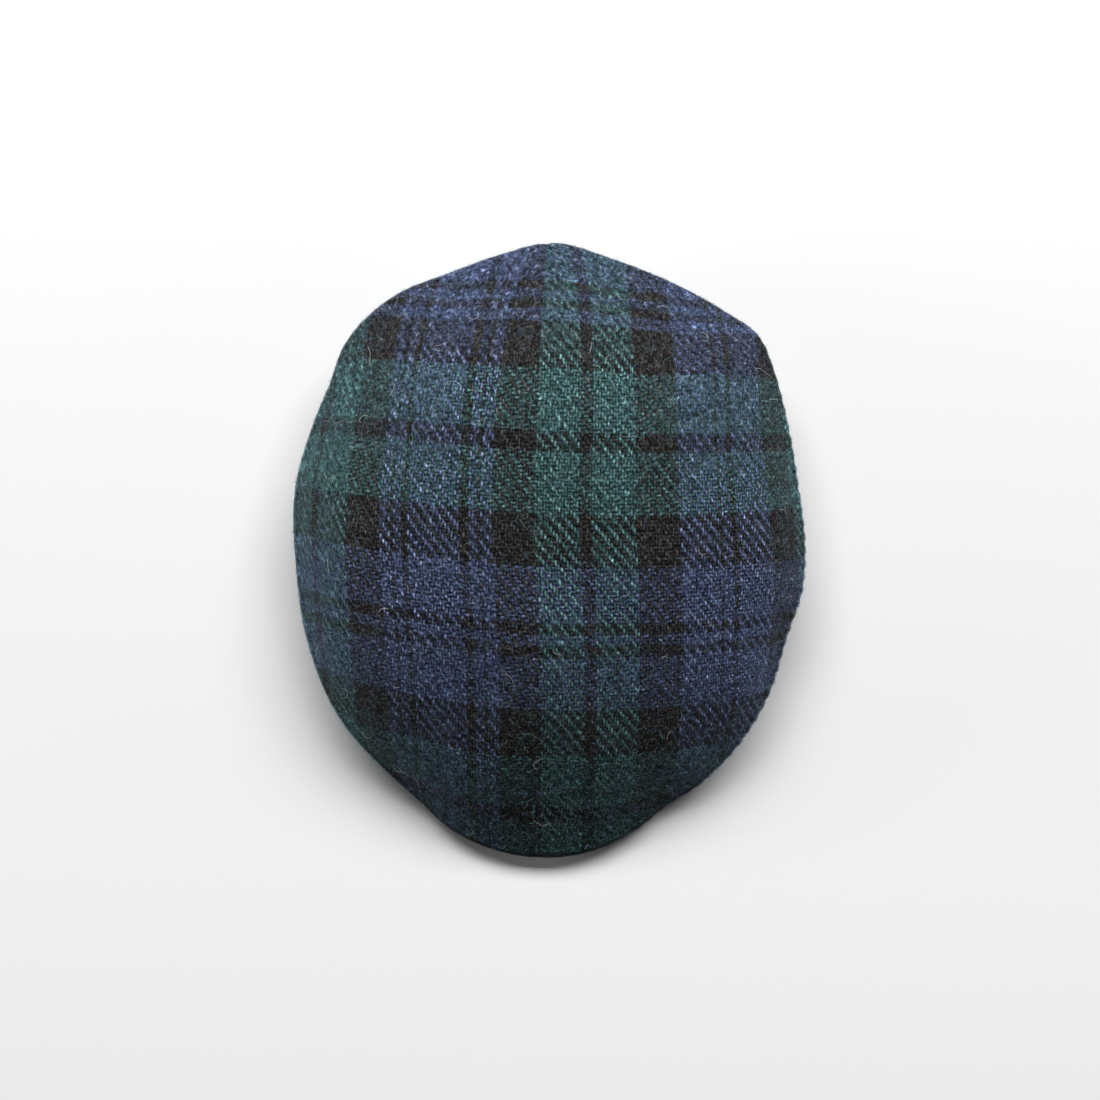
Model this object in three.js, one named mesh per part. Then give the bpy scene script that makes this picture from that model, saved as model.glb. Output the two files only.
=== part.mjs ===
// A flat cap in tartan wool, lying by itself on a level surface.
// Millimetres, +Z up. The peak points towards -Y and the centre back towards +Y.
// The origin is on the surface, under the middle of the cap's outline.
//
// The cap is four cloth pieces:
//   crown       the one-piece top, which runs forward over the peak and turns down round its edge
//   side_left   the wearer's left side band, from the peak's notch to the centre back seam
//   side_right  the right side band
//   peak        the stiff visor under the front of the crown
//
// Every piece is lofted through upright sections that stand like spokes around the origin. `turn` is
// a spoke's direction in degrees, clockwise from the centre back as seen from above, so 90 is the
// wearer's left (+X) and 180 the tip of the peak.
import * as THREE from 'three';

// ---------------------------------------------------------------- driving dimensions
const clothWall = 2;          // crown and side bands: wool with its backing
const hemWall = 3.8;          // side band where its lower edge is turned up inside
const hemHeight = 0.3;        // part of the side band's height that the hem takes
const seamGap = 0.3;          // clearance between two pieces that are sewn together
const footGap = 0.6;          // clearance between a side band's foot and the arched peak

const crownMiddle = 83.5;     // height of the crown over the origin
const crownTilt = 0.12;       // its rise there towards the back
const crownLean = 0.02;       // and its fall there towards the wearer's left
const edgeRoll = 2.4;         // radius at which the crown turns down at its outline
const seamLip = 2.6;          // how far the crown hangs below its roll over the side bands
const peakLip = 3.2;          // the same where it wraps the peak's edge

const opening = { halfWidth: 82, halfLength: 101, shift: 18 };   // oval of a 58 cm head

const peakThickness = 4;      // board with cloth on both faces
const peakTuck = 2;           // how far the peak reaches inside the oval of the opening
const peakCorner = 102;       // turn at which the peak's corners start, by the temples
const peakCornerWidth = 6;    // how far the corners stand out from the oval
const peakNotch = 150;        // turn at which the peak comes out from under the side bands
const bandStep = 3.2;         // how far behind the peak's edge the side bands meet it
const bandEnd = 146;          // turn at which the side bands run out
const footRamp = 6;           // degrees over which a band's foot climbs on to the peak
const bandSpoke = 6;          // degrees between a band's sections behind the temples
const peakSpoke = 4;          // degrees between sections of the peak, and of the bands on it
const bandBulge = 3;          // how far the side bands belly outwards

const spokes = 72;            // sections around the crown
const spokeStep = 360 / spokes;

// ---------------------------------------------------------------- tables
// Outline of the crown: how far it reaches from the origin, and the height at which it turns down.
const outline = [
  { turn: 0, reach: 139.5, edge: 33 },      // centre back
  { turn: 12, reach: 135, edge: 34 },
  { turn: 24, reach: 133, edge: 35.5 },
  { turn: 36, reach: 133.5, edge: 36.5 },
  { turn: 44, reach: 134.5, edge: 37 },    // left back corner
  { turn: 51, reach: 129, edge: 37 },
  { turn: 60, reach: 122, edge: 36 },
  { turn: 74, reach: 115.5, edge: 34 },
  { turn: 90, reach: 114.5, edge: 33 },
  { turn: 98, reach: 114.5, edge: 32.5 },
  { turn: 109, reach: 113, edge: 31 },
  { turn: 124, reach: 118.1, edge: 26.8 },
  { turn: 138, reach: 123.3, edge: 20.2 },
  { turn: 148, reach: 126.6, edge: 13.4 },
  { turn: 155, reach: 128.2, edge: 9.6 },    // left notch, where crown and peak meet
  { turn: 163, reach: 134, edge: 9 },
  { turn: 172, reach: 139, edge: 9.4 },
  { turn: 182, reach: 140.6, edge: 9.6 },    // tip of the peak
  { turn: 192, reach: 139, edge: 9.4 },
  { turn: 200, reach: 135.4, edge: 9 },
  { turn: 207, reach: 129.7, edge: 9.4 },    // right notch
  { turn: 217, reach: 125, edge: 15.4 },
  { turn: 232, reach: 121.1, edge: 24.2 },
  { turn: 250, reach: 116, edge: 30 },
  { turn: 268, reach: 114, edge: 32.5 },
  { turn: 284, reach: 117.5, edge: 34.5 },
  { turn: 300, reach: 121, edge: 36 },
  { turn: 308, reach: 124.5, edge: 36.5 },
  { turn: 315, reach: 130.5, edge: 37 },    // right back corner, softer
  { turn: 328, reach: 134.5, edge: 36.5 },
  { turn: 341, reach: 133.5, edge: 35.5 },
  { turn: 351, reach: 136, edge: 34 },
];

// Dome of the crown: its height at parts of the way from the origin to the outline. The worn cap has
// slumped a little, so its left side is lower than its right.
const domeParts = [0.3, 0.5, 0.65, 0.8, 0.9];
const dome = [
  { turn: 0, heights: [86, 83, 72.5, 57, 45.5] },       // back slope
  { turn: 45, heights: [84, 79.5, 71.5, 60, 50] },      // left back corner
  { turn: 90, heights: [81.5, 75.5, 68, 57.5, 47.5] },  // left side
  { turn: 120, heights: [78.5, 71, 62.5, 51.5, 42.5] },
  { turn: 145, heights: [75.5, 65, 55.5, 42.5, 31] },
  { turn: 165, heights: [75.5, 61.5, 49.5, 34, 21.5] },
  { turn: 180, heights: [76, 61, 46.5, 30.5, 20] },       // front slope, then the top of the peak
  { turn: 195, heights: [76.5, 63, 51, 35.5, 22] },
  { turn: 215, heights: [77.5, 68.5, 59, 45, 32] },
  { turn: 240, heights: [80.5, 75, 67.5, 56.5, 45.5] },
  { turn: 270, heights: [83, 80, 75, 65, 53] },         // right side
  { turn: 315, heights: [85.5, 82.5, 75, 62, 51] },     // right back corner
];

// Soft dents and swells of the worn cloth: centre, reach across and along, heading, and depth.
const dents = [
  { x: 62, y: 70, across: 14, along: 40, heading: 45, depth: -1.6 },    // swell to the left corner
  { x: -50, y: 78, across: 16, along: 38, heading: -38, depth: -1.2 },  // swell to the right corner
  { x: -88, y: 22, across: 10, along: 16, heading: 90, depth: 1.8 },    // hollow at the right side's kink
  { x: 66, y: -80, across: 12, along: 24, heading: 140, depth: 1.0 },   // hollow behind the left notch
  { x: -62, y: -84, across: 12, along: 24, heading: 215, depth: 0.8 },  // and behind the right
];

// Sewn dart at the centre back: a shallow valley that runs out along the crown.
const dart = { length: 36, width: 3, depth: 1 };

// Height of the peak's upper face where it meets the oval and at its outer edge.
const peakHeights = [
  { turn: 102, inner: 4.6, outer: 3.8 },    // corner
  { turn: 116, inner: 8.5, outer: 4 },
  { turn: 132, inner: 17, outer: 5.6 },
  { turn: 150, inner: 25, outer: 5.6 },
  { turn: 166, inner: 29.5, outer: 5.4 },
  { turn: 180, inner: 31, outer: 5.8 },    // middle
];

// ---------------------------------------------------------------- interpolation
const radians = THREE.MathUtils.degToRad;
const lerp = THREE.MathUtils.lerp;
const smooth = THREE.MathUtils.smoothstep;

/** Cubic through unevenly spaced knots; ends may be given a slope of their own. */
function cubic(knots, values, at, startSlope, endSlope) {
  const last = knots.length - 1;
  let i = 0;
  while (i < last - 1 && at > knots[i + 1]) i += 1;
  const chord = (k) => (values[k + 1] - values[k]) / (knots[k + 1] - knots[k]);
  const slope = (k) => {
    if (k === 0) return startSlope ?? chord(0);
    if (k === last) return endSlope ?? chord(last - 1);
    const before = knots[k] - knots[k - 1];
    const after = knots[k + 1] - knots[k];
    return (chord(k - 1) * after + chord(k) * before) / (before + after);
  };
  const span = knots[i + 1] - knots[i];
  const u = (at - knots[i]) / span;
  const rise = u * u * (3 - 2 * u);
  const bend = u * (1 - u) * span;
  return lerp(values[i], values[i + 1], rise) + bend * ((1 - u) * slope(i) - u * slope(i + 1));
}

/** A column of a table whose rows go all the way round, so that it closes on itself. */
function lapColumn(rows, pick) {
  const lap = rows.map((row) => row.turn);
  const column = rows.map(pick);
  const wrap = 3;
  const knots = [
    ...lap.slice(-wrap).map((turn) => turn - 360), ...lap, ...lap.slice(0, wrap).map((turn) => turn + 360),
  ];
  const values = [...column.slice(-wrap), ...column, ...column.slice(0, wrap)];
  return (turn) => cubic(knots, values, THREE.MathUtils.euclideanModulo(turn, 360));
}

const reachAt = lapColumn(outline, (row) => row.reach);
const edgeAt = lapColumn(outline, (row) => row.edge);
const domeColumns = domeParts.map((part, k) => lapColumn(dome, (row) => row.heights[k]));

/** Turn counted from the back on either side of the cap, 0 to 180. */
function fromBack(turn) {
  const lap = THREE.MathUtils.euclideanModulo(turn, 360);
  return lap > 180 ? 360 - lap : lap;
}

/** A column of a table whose rows are given for one side only; it is level across both ends. */
function sidedColumn(rows, pick) {
  const knots = rows.map((row) => row.turn);
  const values = rows.map(pick);
  return (turn) => cubic(knots, values, fromBack(turn), 0, 0);
}

const peakInnerAt = sidedColumn(peakHeights, (row) => row.inner);
const peakOuterAt = sidedColumn(peakHeights, (row) => row.outer);

// ---------------------------------------------------------------- shapes the pieces share
/** Point on a spoke. */
function onSpoke(turn, reach, z) {
  const angle = radians(turn);
  return new THREE.Vector3(reach * Math.sin(angle), reach * Math.cos(angle), z);
}

/** Reach of the oval head opening along a spoke. */
function openingReach(turn) {
  const along = Math.cos(radians(turn)) / opening.halfLength;
  const across = Math.sin(radians(turn)) / opening.halfWidth;
  const offset = opening.shift / opening.halfLength;
  const a = along * along + across * across;
  const b = along * offset;
  return (b + Math.sqrt(b * b + a * (1 - offset * offset))) / a;
}

/** Reach of the peak's outer edge: out of the oval at the temples, under the crown's edge in front. */
function peakReach(turn) {
  const blend = smooth(fromBack(turn), peakCorner, peakNotch);
  const tucked = reachAt(turn) - clothWall - seamGap - 0.6;
  return lerp(openingReach(turn) + peakCornerWidth, tucked, Math.sqrt(blend));
}

/** Height of the peak's upper face, a shallow arch between its inner and outer edges. */
function peakTop(turn, reach) {
  const inner = openingReach(turn);
  const part = (reach - inner) / (peakReach(turn) - inner);
  const arch = 6 * part * (1 - part) * smooth(fromBack(turn), peakCorner, peakNotch);
  return lerp(peakInnerAt(turn), peakOuterAt(turn), part) + Math.max(arch, 0);
}

/** Depth of the dents and of the dart at a place on the crown. */
function dentDepth(x, y) {
  let depth = 0;
  for (const dent of dents) {
    const heading = radians(dent.heading);
    const dx = x - dent.x;
    const dy = y - dent.y;
    const along = (dx * Math.sin(heading) + dy * Math.cos(heading)) / dent.along;
    const across = (dx * Math.cos(heading) - dy * Math.sin(heading)) / dent.across;
    depth += dent.depth * Math.exp(-along * along - across * across);
  }
  const dartStart = reachAt(0) - dart.length;
  const valley = Math.exp(-((x / dart.width) ** 2)) * smooth(y, dartStart, reachAt(0) - dart.length / 3);
  return depth + dart.depth * valley;
}

/** Height of the crown's outer face, at a part of the way from the origin to the outline. */
function crownHeight(turn, part) {
  const knots = [0, ...domeParts, 1];
  const values = [crownMiddle, ...domeColumns.map((column) => column(turn)), edgeAt(turn)];
  const rim = onSpoke(turn, reachAt(turn), 0);
  const point = rim.clone().multiplyScalar(part);
  const startSlope = crownTilt * rim.y - crownLean * rim.x;
  return cubic(knots, values, part, startSlope) - dentDepth(point.x, point.y);
}

/** How far the crown hangs straight down below its roll. */
function lipAt(turn) {
  return lerp(seamLip, peakLip, smooth(fromBack(turn), bandEnd - 12, bandEnd));
}

/** Height of the bottom of the crown's lip. */
function lipBottom(turn) {
  const roll = crownRoll(turn, 90);
  return roll.z - lipAt(turn);
}

/** Point of the roll at the crown's outline; `lean` is 0 on the dome and 90 where it hangs. */
function crownRoll(turn, lean) {
  const reach = reachAt(turn);
  const start = 1 - edgeRoll / reach;
  const step = 0.01;
  const drop = (crownHeight(turn, start - step) - crownHeight(turn, start)) / (step * reach);
  const out = edgeRoll * Math.sin(radians(lean));
  const fall = Math.min(drop, 1) * out + edgeRoll * 0.5 * (1 - Math.cos(radians(lean)));
  return { reach: reach - edgeRoll + out, z: crownHeight(turn, start) - fall };
}

// ---------------------------------------------------------------- closed walls
/** Closed mesh of a wall: rows of outer points, and the inner point behind each. */
function wallGeometry(outer, inner, { closed, cap }) {
  const rows = outer.length;
  const columns = outer[0].length;
  const points = [];
  const triangles = [];
  const put = (grid) => {
    const base = points.length;
    for (const row of grid) points.push(...row);
    return (i, j) => base + i * columns + (closed ? j % columns : j);
  };
  const quad = (a, b, c, d) => triangles.push(a, d, c, a, c, b);
  const out = put(outer);
  const back = put(inner);
  const spans = closed ? columns : columns - 1;
  for (let i = 0; i < rows - 1; i += 1) {
    for (let j = 0; j < spans; j += 1) {
      quad(out(i, j), out(i + 1, j), out(i + 1, j + 1), out(i, j + 1));
      quad(back(i, j), back(i, j + 1), back(i + 1, j + 1), back(i + 1, j));
    }
  }
  const rim = rows - 1;
  for (let j = 0; j < spans; j += 1) {
    quad(out(rim, j), back(rim, j), back(rim, j + 1), out(rim, j + 1));
    if (!cap) quad(out(0, j), out(0, j + 1), back(0, j + 1), back(0, j));
  }
  if (!closed) {
    for (let i = 0; i < rim; i += 1) {
      quad(out(i, 0), back(i, 0), back(i + 1, 0), out(i + 1, 0));
      quad(out(i, spans), out(i + 1, spans), back(i + 1, spans), back(i, spans));
    }
  }
  if (cap) {
    const top = points.push(cap.outer) - 1;
    const under = points.push(cap.inner) - 1;
    for (let j = 0; j < spans; j += 1) {
      triangles.push(top, out(0, j + 1), out(0, j));
      triangles.push(under, back(0, j), back(0, j + 1));
    }
  }
  const geometry = new THREE.BufferGeometry();
  geometry.setAttribute('position', new THREE.Float32BufferAttribute(points.flatMap((p) => [p.x, p.y, p.z]), 3));
  geometry.setIndex(triangles);
  geometry.computeVertexNormals();
  return geometry;
}

/** Piece with its own finish. */
function piece(name, geometry, colour) {
  const material = new THREE.MeshStandardMaterial({ color: colour, roughness: 0.95, metalness: 0 });
  const mesh = new THREE.Mesh(geometry, material);
  mesh.name = name;
  return mesh;
}

// ---------------------------------------------------------------- crown
/** Unit normal of the crown's outer face, from its slope along and across a spoke. */
function crownNormal(turn, part) {
  const step = 0.004;
  const at = (t, p) => onSpoke(t, p * reachAt(t), crownHeight(t, p));
  const along = at(turn, part + step).sub(at(turn, part - step));
  const across = at(turn + 1, part).sub(at(turn - 1, part));
  return across.cross(along).normalize();
}

function crownPiece() {
  const parts = [0.08, 0.18, 0.3, 0.42, 0.53, 0.63, 0.72, 0.8, 0.87, 0.93];
  const leans = [0, 35, 90];
  const outer = [];
  const inner = [];
  const turns = Array.from({ length: spokes }, (unused, j) => j * spokeStep);
  for (const part of parts) {
    const face = turns.map((turn) => onSpoke(turn, part * reachAt(turn), crownHeight(turn, part)));
    outer.push(face);
    inner.push(face.map((p, j) => p.clone().addScaledVector(crownNormal(turns[j], part), -clothWall)));
  }
  for (const lean of leans) {
    const rolls = turns.map((turn) => crownRoll(turn, lean));
    outer.push(rolls.map((roll, j) => onSpoke(turns[j], roll.reach, roll.z)));
    inner.push(rolls.map((roll, j) => {
      const inset = clothWall * Math.sin(radians(lerp(25, 90, lean / 90)));
      const fall = clothWall * Math.cos(radians(lerp(25, 90, lean / 90)));
      return onSpoke(turns[j], roll.reach - inset, roll.z - fall);
    }));
  }
  outer.push(turns.map((turn) => onSpoke(turn, reachAt(turn), lipBottom(turn))));
  inner.push(turns.map((turn) => onSpoke(turn, reachAt(turn) - clothWall, lipBottom(turn))));
  const cap = {
    outer: new THREE.Vector3(0, 0, crownHeight(0, 0)),
    inner: new THREE.Vector3(0, 0, crownHeight(0, 0) - clothWall),
  };
  return piece('crown', wallGeometry(outer, inner, { closed: true, cap }), 0x26363f);
}

// ---------------------------------------------------------------- side bands
/** Whether a spoke meets the peak, or nearly: 0 behind the temples and 1 on the peak. */
function onPeak(turn) {
  return smooth(fromBack(turn), peakCorner - footRamp - seamGap, peakCorner - seamGap);
}

/** Reach of a side band's foot: the oval behind the temples, the peak's edge in front. */
function footReach(turn) {
  return fromBack(turn) < peakCorner
    ? openingReach(turn) + (peakCornerWidth - bandStep) * onPeak(turn)
    : peakReach(turn) - bandStep;
}

/** Height of what a side band stands on: the surface, or the peak's upper face. */
function footHeight(turn, reach) {
  const spoke = fromBack(turn) < peakCorner ? Math.sign(turn) * peakCorner : turn;
  return onPeak(turn) * (peakTop(spoke, reach) + footGap);
}

/** Point of a band's outer face; `up` runs from 0 at the foot to 1 under the crown's lip. */
function bandPoint(turn, up) {
  const foot = footReach(turn);
  const footZ = footHeight(turn, foot);
  const head = reachAt(turn) - 0.5;
  const headZ = lipBottom(turn) - seamGap;
  const length = Math.hypot(head - foot, headZ - footZ);
  const belly = Math.min(bandBulge, length * 0.12) * 4 * up * (1 - up);
  return {
    reach: lerp(foot, head, up) + (belly * (headZ - footZ)) / length,
    z: lerp(footZ, headZ, up) - (0.6 * belly * (head - foot)) / length,
  };
}

/** A side band; `side` is 1 for the wearer's left and -1 for the right. */
function sideBand(name, side, colour) {
  const turns = [THREE.MathUtils.radToDeg(seamGap / 2 / reachAt(0))];
  const ramp = peakCorner - footRamp - seamGap;
  for (let turn = bandSpoke; turn < ramp - 1; turn += bandSpoke) turns.push(turn);
  turns.push(ramp, peakCorner - footRamp / 2, peakCorner - seamGap);
  for (let turn = peakCorner; turn <= bandEnd; turn += peakSpoke) turns.push(turn);
  const ups = [0, hemHeight, hemHeight + 0.06, 0.65, 1];
  const outer = [];
  const inner = [];
  for (const up of ups) {
    const faceRow = [];
    const backRow = [];
    for (const turn of turns) {
      const spoke = side * turn;
      const here = bandPoint(spoke, up);
      const wall = up <= hemHeight ? lerp(hemWall, clothWall, onPeak(turn)) : clothWall;
      const back = here.reach - wall;
      faceRow.push(onSpoke(spoke, here.reach, here.z));
      backRow.push(onSpoke(spoke, back, up === 0 ? footHeight(turn, back) : here.z));
    }
    outer.push(faceRow);
    inner.push(backRow);
  }
  if (side > 0) {
    outer.reverse();
    inner.reverse();
  }
  return piece(name, wallGeometry(outer, inner, { closed: false }), colour);
}

// ---------------------------------------------------------------- peak
function peakPiece() {
  const turns = [];
  for (let turn = peakCorner; turn <= 360 - peakCorner; turn += peakSpoke) turns.push(turn);
  const parts = [0, 0.25, 0.5, 0.75, 0.93, 1];
  const outer = [];
  const inner = [];
  for (const part of parts) {
    const faceRow = [];
    const underRow = [];
    for (const turn of turns) {
      const reach = lerp(openingReach(turn) - peakTuck, peakReach(turn), part);
      const top = peakTop(turn, reach);
      faceRow.push(onSpoke(turn, reach, top));
      underRow.push(onSpoke(turn, reach - (part === 1 ? 1.2 : 0), Math.max(top - peakThickness, 0)));
    }
    outer.push(faceRow);
    inner.push(underRow);
  }
  return piece('peak', wallGeometry(outer, inner, { closed: false }), 0x1d3330);
}

// ---------------------------------------------------------------- assembly
const group = new THREE.Group();
group.add(crownPiece());
group.add(sideBand('side_left', 1, 0x232f45));
group.add(sideBand('side_right', -1, 0x232f45));
group.add(peakPiece());

export default group;
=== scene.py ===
"""A flat cap in tartan wool, lying by itself on a pale floor.

Metres, +Z up. The peak points towards -Y, the centre back towards +Y, and +X is the wearer's left.
Shapes are worked out in millimetres and put into the meshes in metres. A turn is an angle round the
origin in degrees, clockwise from the centre back as seen from above, and a reach is a distance from
the origin in plan. A pair of limits is where something starts and where it is full.
"""

import logging
from collections.abc import Iterable
from dataclasses import dataclass, field
from enum import Enum

import bmesh
import bpy
import numpy as np
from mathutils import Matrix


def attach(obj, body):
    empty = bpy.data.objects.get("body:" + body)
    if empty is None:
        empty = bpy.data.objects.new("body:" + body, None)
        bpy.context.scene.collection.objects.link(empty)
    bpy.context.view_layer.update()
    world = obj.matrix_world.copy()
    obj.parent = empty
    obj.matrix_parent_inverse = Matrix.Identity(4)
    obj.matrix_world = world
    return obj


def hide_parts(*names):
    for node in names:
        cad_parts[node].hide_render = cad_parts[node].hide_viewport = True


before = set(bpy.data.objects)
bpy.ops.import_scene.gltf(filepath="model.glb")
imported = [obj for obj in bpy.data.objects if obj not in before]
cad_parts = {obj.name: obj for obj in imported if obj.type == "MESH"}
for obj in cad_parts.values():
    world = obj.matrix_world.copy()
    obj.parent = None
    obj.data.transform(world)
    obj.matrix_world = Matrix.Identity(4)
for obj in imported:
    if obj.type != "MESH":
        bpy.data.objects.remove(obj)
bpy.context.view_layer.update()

LOG = logging.getLogger("flat_cap")
MM = 0.001
Array = np.ndarray
Socket = bpy.types.NodeSocket
Limits = tuple[float, float]
Point = tuple[float, float, float]


class Layer(str, Enum):
    """Data kept on the meshes for the finishes to read."""

    CLOTH = "Cloth"
    TONE = "Tone"
    NAP = "Nap"
    # painted shade: how much darker the cloth is painted towards the front, where it faces away from the
    # light
    WORN = "Worn"


# -------------------- small helpers
def smooth(value: Array, low: float, high: float) -> Array:
    """Ease from 0 at low to 1 at high."""
    part = np.clip((np.asarray(value, float) - low) / (high - low), 0.0, 1.0)
    return part * part * (3 - 2 * part)


def lerp(low: Array, high: Array, part: Array) -> Array:
    """Value between low and high."""
    return low + (high - low) * part


def through_knots(knots: Array, values: Array, at: Array, start_slope: Array | None = None) -> Array:
    """Smooth cubic through unevenly spaced knots.

    Args:
        knots: Places of the knots, rising.
        values: One value per knot, or one row per knot with a column for each place asked for.
        at: Places asked for.
        start_slope: Slope at the first knot, or None for the chord's.

    Returns:
        The value at each place asked for.
    """
    knots, values, at = np.asarray(knots, float), np.asarray(values, float), np.asarray(at, float)
    if values.ndim == 1:
        values = np.repeat(values[:, None], at.size, axis=1)
    span = np.diff(knots)
    chord = np.diff(values, axis=0) / span[:, None]
    slope = np.empty_like(values)
    inner = chord[:-1] * span[1:, None] + chord[1:] * span[:-1, None]
    slope[1:-1] = inner / (span[:-1] + span[1:])[:, None]
    slope[0] = chord[0] if start_slope is None else start_slope
    slope[-1] = chord[-1]
    cell = np.clip(np.searchsorted(knots, at, side="right") - 1, 0, len(knots) - 2)
    column = np.arange(at.size)
    part = (at - knots[cell]) / span[cell]
    low, high = values[cell, column], values[cell + 1, column]
    bend = part * (1 - part) * span[cell]
    ease = part * part * (3 - 2 * part)
    lean = (1 - part) * slope[cell, column] - part * slope[cell + 1, column]
    return low + (high - low) * ease + bend * lean


def around(turns: Array, values: Array, turn: Array) -> Array:
    """Smooth cubic through a table that closes on itself after 360 degrees.

    Args:
        turns: Turn of each row.
        values: Value of each row.
        turn: Turns asked for.

    Returns:
        The value at each turn asked for.
    """
    lap = 3
    turns, values = np.asarray(turns, float), np.asarray(values, float)
    knots = np.concatenate([turns[-lap:] - 360, turns, turns[:lap] + 360])
    rows = np.concatenate([values[-lap:], values, values[:lap]])
    return through_knots(knots, rows, np.mod(turn, 360))


def turn_of(x: Array, y: Array) -> Array:
    """Turn of each place in plan, 0 to 360."""
    return np.mod(np.degrees(np.arctan2(x, y)), 360)


def from_back(turn: Array) -> Array:
    """Turn counted from the centre back on either side, 0 to 180."""
    lap = np.mod(turn, 360)
    return np.where(lap > 180, 360 - lap, lap)


def on_spoke(turn: Array, reach: Array, height: Array) -> Array:
    """Places at a turn, a reach and a height, one row each."""
    angle = np.radians(turn)
    return np.stack([reach * np.sin(angle), reach * np.cos(angle), height], axis=-1)


def bell(off: Array, width: float, power: float = 2) -> Array:
    """1 at an offset of 0, falling away on both sides over a width."""
    return np.exp(-np.abs(off / width) ** power)


# -------------------- the cap's shape
@dataclass(frozen=True)
class Dent:
    """Soft dent of the worn cloth; a swell has a depth below zero."""

    x: float
    y: float
    across: float
    along: float
    heading: float
    depth: float

    def at(self, x: Array, y: Array) -> Array:
        """Depth of the dent at places on the crown.

        Args:
            x: Places across.
            y: Places along.

        Returns:
            The depth at each place.
        """
        angle = np.radians(self.heading)
        dx, dy = x - self.x, y - self.y
        along = (dx * np.sin(angle) + dy * np.cos(angle)) / self.along
        across = (dx * np.cos(angle) - dy * np.sin(angle)) / self.across
        return self.depth * np.exp(-along * along - across * across)


@dataclass(frozen=True)
class CapShape:
    """Form of the whole cap in millimetres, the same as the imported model's."""

    # turn, how far the crown reaches, height at which it turns down
    outline: tuple[tuple[float, ...], ...] = (
        (0, 139.5, 33), (12, 135, 34), (24, 133, 35.5), (36, 133.5, 36.5), (44, 134.5, 37),
        (51, 129, 37), (60, 122, 36), (74, 115.5, 34), (90, 114.5, 33), (98, 114.5, 32.5),
        (109, 113, 31), (124, 118.1, 26.8), (138, 123.3, 20.2), (148, 126.6, 13.4), (155, 128.2, 9.6),
        (163, 134, 9), (172, 139, 9.4), (182, 140.6, 9.6), (192, 139, 9.4), (200, 135.4, 9),
        (207, 129.7, 9.4), (217, 125, 15.4), (232, 121.1, 24.2), (250, 116, 30), (268, 114, 32.5),
        (284, 117.5, 34.5), (300, 121, 36), (308, 124.5, 36.5), (315, 130.5, 37), (328, 134.5, 36.5),
        (341, 133.5, 35.5), (351, 136, 34),
    )
    dome_parts: tuple[float, ...] = (0.3, 0.5, 0.65, 0.8, 0.9)
    # turn, then the height at each of the parts of the way to the outline
    dome: tuple[tuple[float, ...], ...] = (
        (0, 86, 83, 72.5, 57, 45.5), (45, 84, 79.5, 71.5, 60, 50), (90, 81.5, 75.5, 68, 57.5, 47.5),
        (120, 78.5, 71, 62.5, 51.5, 42.5), (145, 75.5, 65, 55.5, 42.5, 31),
        (165, 75.5, 61.5, 49.5, 34, 21.5), (180, 76, 61, 46.5, 30.5, 20), (195, 76.5, 63, 51, 35.5, 22),
        (215, 77.5, 68.5, 59, 45, 32), (240, 80.5, 75, 67.5, 56.5, 45.5), (270, 83, 80, 75, 65, 53),
        (315, 85.5, 82.5, 75, 62, 51),
    )
    dents: tuple[Dent, ...] = (
        Dent(62, 70, 14, 40, 45, -1.6), Dent(-50, 78, 16, 38, -38, -1.2), Dent(-88, 22, 10, 16, 90, 1.8),
        Dent(66, -80, 12, 24, 140, 1.0), Dent(-62, -84, 12, 24, 215, 0.8),
    )
    crown_middle: float = 83.5
    crown_tilt: float = 0.12
    crown_lean: float = 0.02
    edge_roll: float = 2.4
    roll_flatness: float = 0.5
    seam_lip: float = 2.6
    peak_lip: float = 3.2
    lip_ramp: float = 12
    seam_gap: float = 0.3
    foot_gap: float = 0.6
    wall: float = 2.0
    opening_half_width: float = 82
    opening_half_length: float = 101
    opening_shift: float = 18
    peak_thickness: float = 4
    peak_tuck: float = 2
    peak_corner: float = 102
    peak_corner_width: float = 6
    peak_notch: float = 150
    peak_clearance: float = 0.6
    # four times the rise in the middle of the way from the oval to the edge
    peak_arch: float = 6
    band_step: float = 3.2
    band_end: float = 146
    foot_ramp: float = 6
    head_inset: float = 0.5
    band_bulge: float = 3
    bulge_share: float = 0.12
    bulge_drop: float = 0.6
    # turn, height of the peak's upper face at the oval and at its outer edge
    peak_heights: tuple[tuple[float, ...], ...] = (
        (102, 4.6, 3.8), (116, 8.5, 4), (132, 17, 5.6), (150, 25, 5.6), (166, 29.5, 5.4), (180, 31, 5.8),
    )

    def column(self, rows: tuple[tuple[float, ...], ...], which: int, turn: Array) -> Array:
        """One column of a table that goes all the way round, at the turns asked for."""
        table = np.array(rows, float)
        return around(table[:, 0], table[:, which], turn)

    def reach(self, turn: Array) -> Array:
        """Reach of the crown's outline."""
        return self.column(self.outline, 1, turn)

    def crown_height(self, turn: Array, part: Array) -> Array:
        """Height of the crown's outer face.

        Args:
            turn: Turns of the places.
            part: Part of the way from the origin to the outline at each turn.

        Returns:
            The height at each place, with the worn cloth's dents.
        """
        rows = [np.full_like(turn, self.crown_middle)]
        rows += [self.column(self.dome, k + 1, turn) for k in range(len(self.dome_parts))]
        rows += [self.column(self.outline, 2, turn)]
        rim = on_spoke(turn, self.reach(turn), np.zeros_like(turn))
        start = self.crown_tilt * rim[:, 1] - self.crown_lean * rim[:, 0]
        height = through_knots(np.array([0, *self.dome_parts, 1]), np.array(rows), part, start)
        for dent in self.dents:
            height = height - dent.at(rim[:, 0] * part, rim[:, 1] * part)
        return height

    def height_at(self, x: Array, y: Array) -> Array:
        """Height of the crown's outer face over places inside its outline."""
        return self.crown_height(turn_of(x, y), np.minimum(self.part_at(x, y), 1.0))

    def part_at(self, x: Array, y: Array) -> Array:
        """Part of the way from the origin to the outline at places."""
        return np.hypot(x, y) / self.reach(turn_of(x, y))

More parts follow.
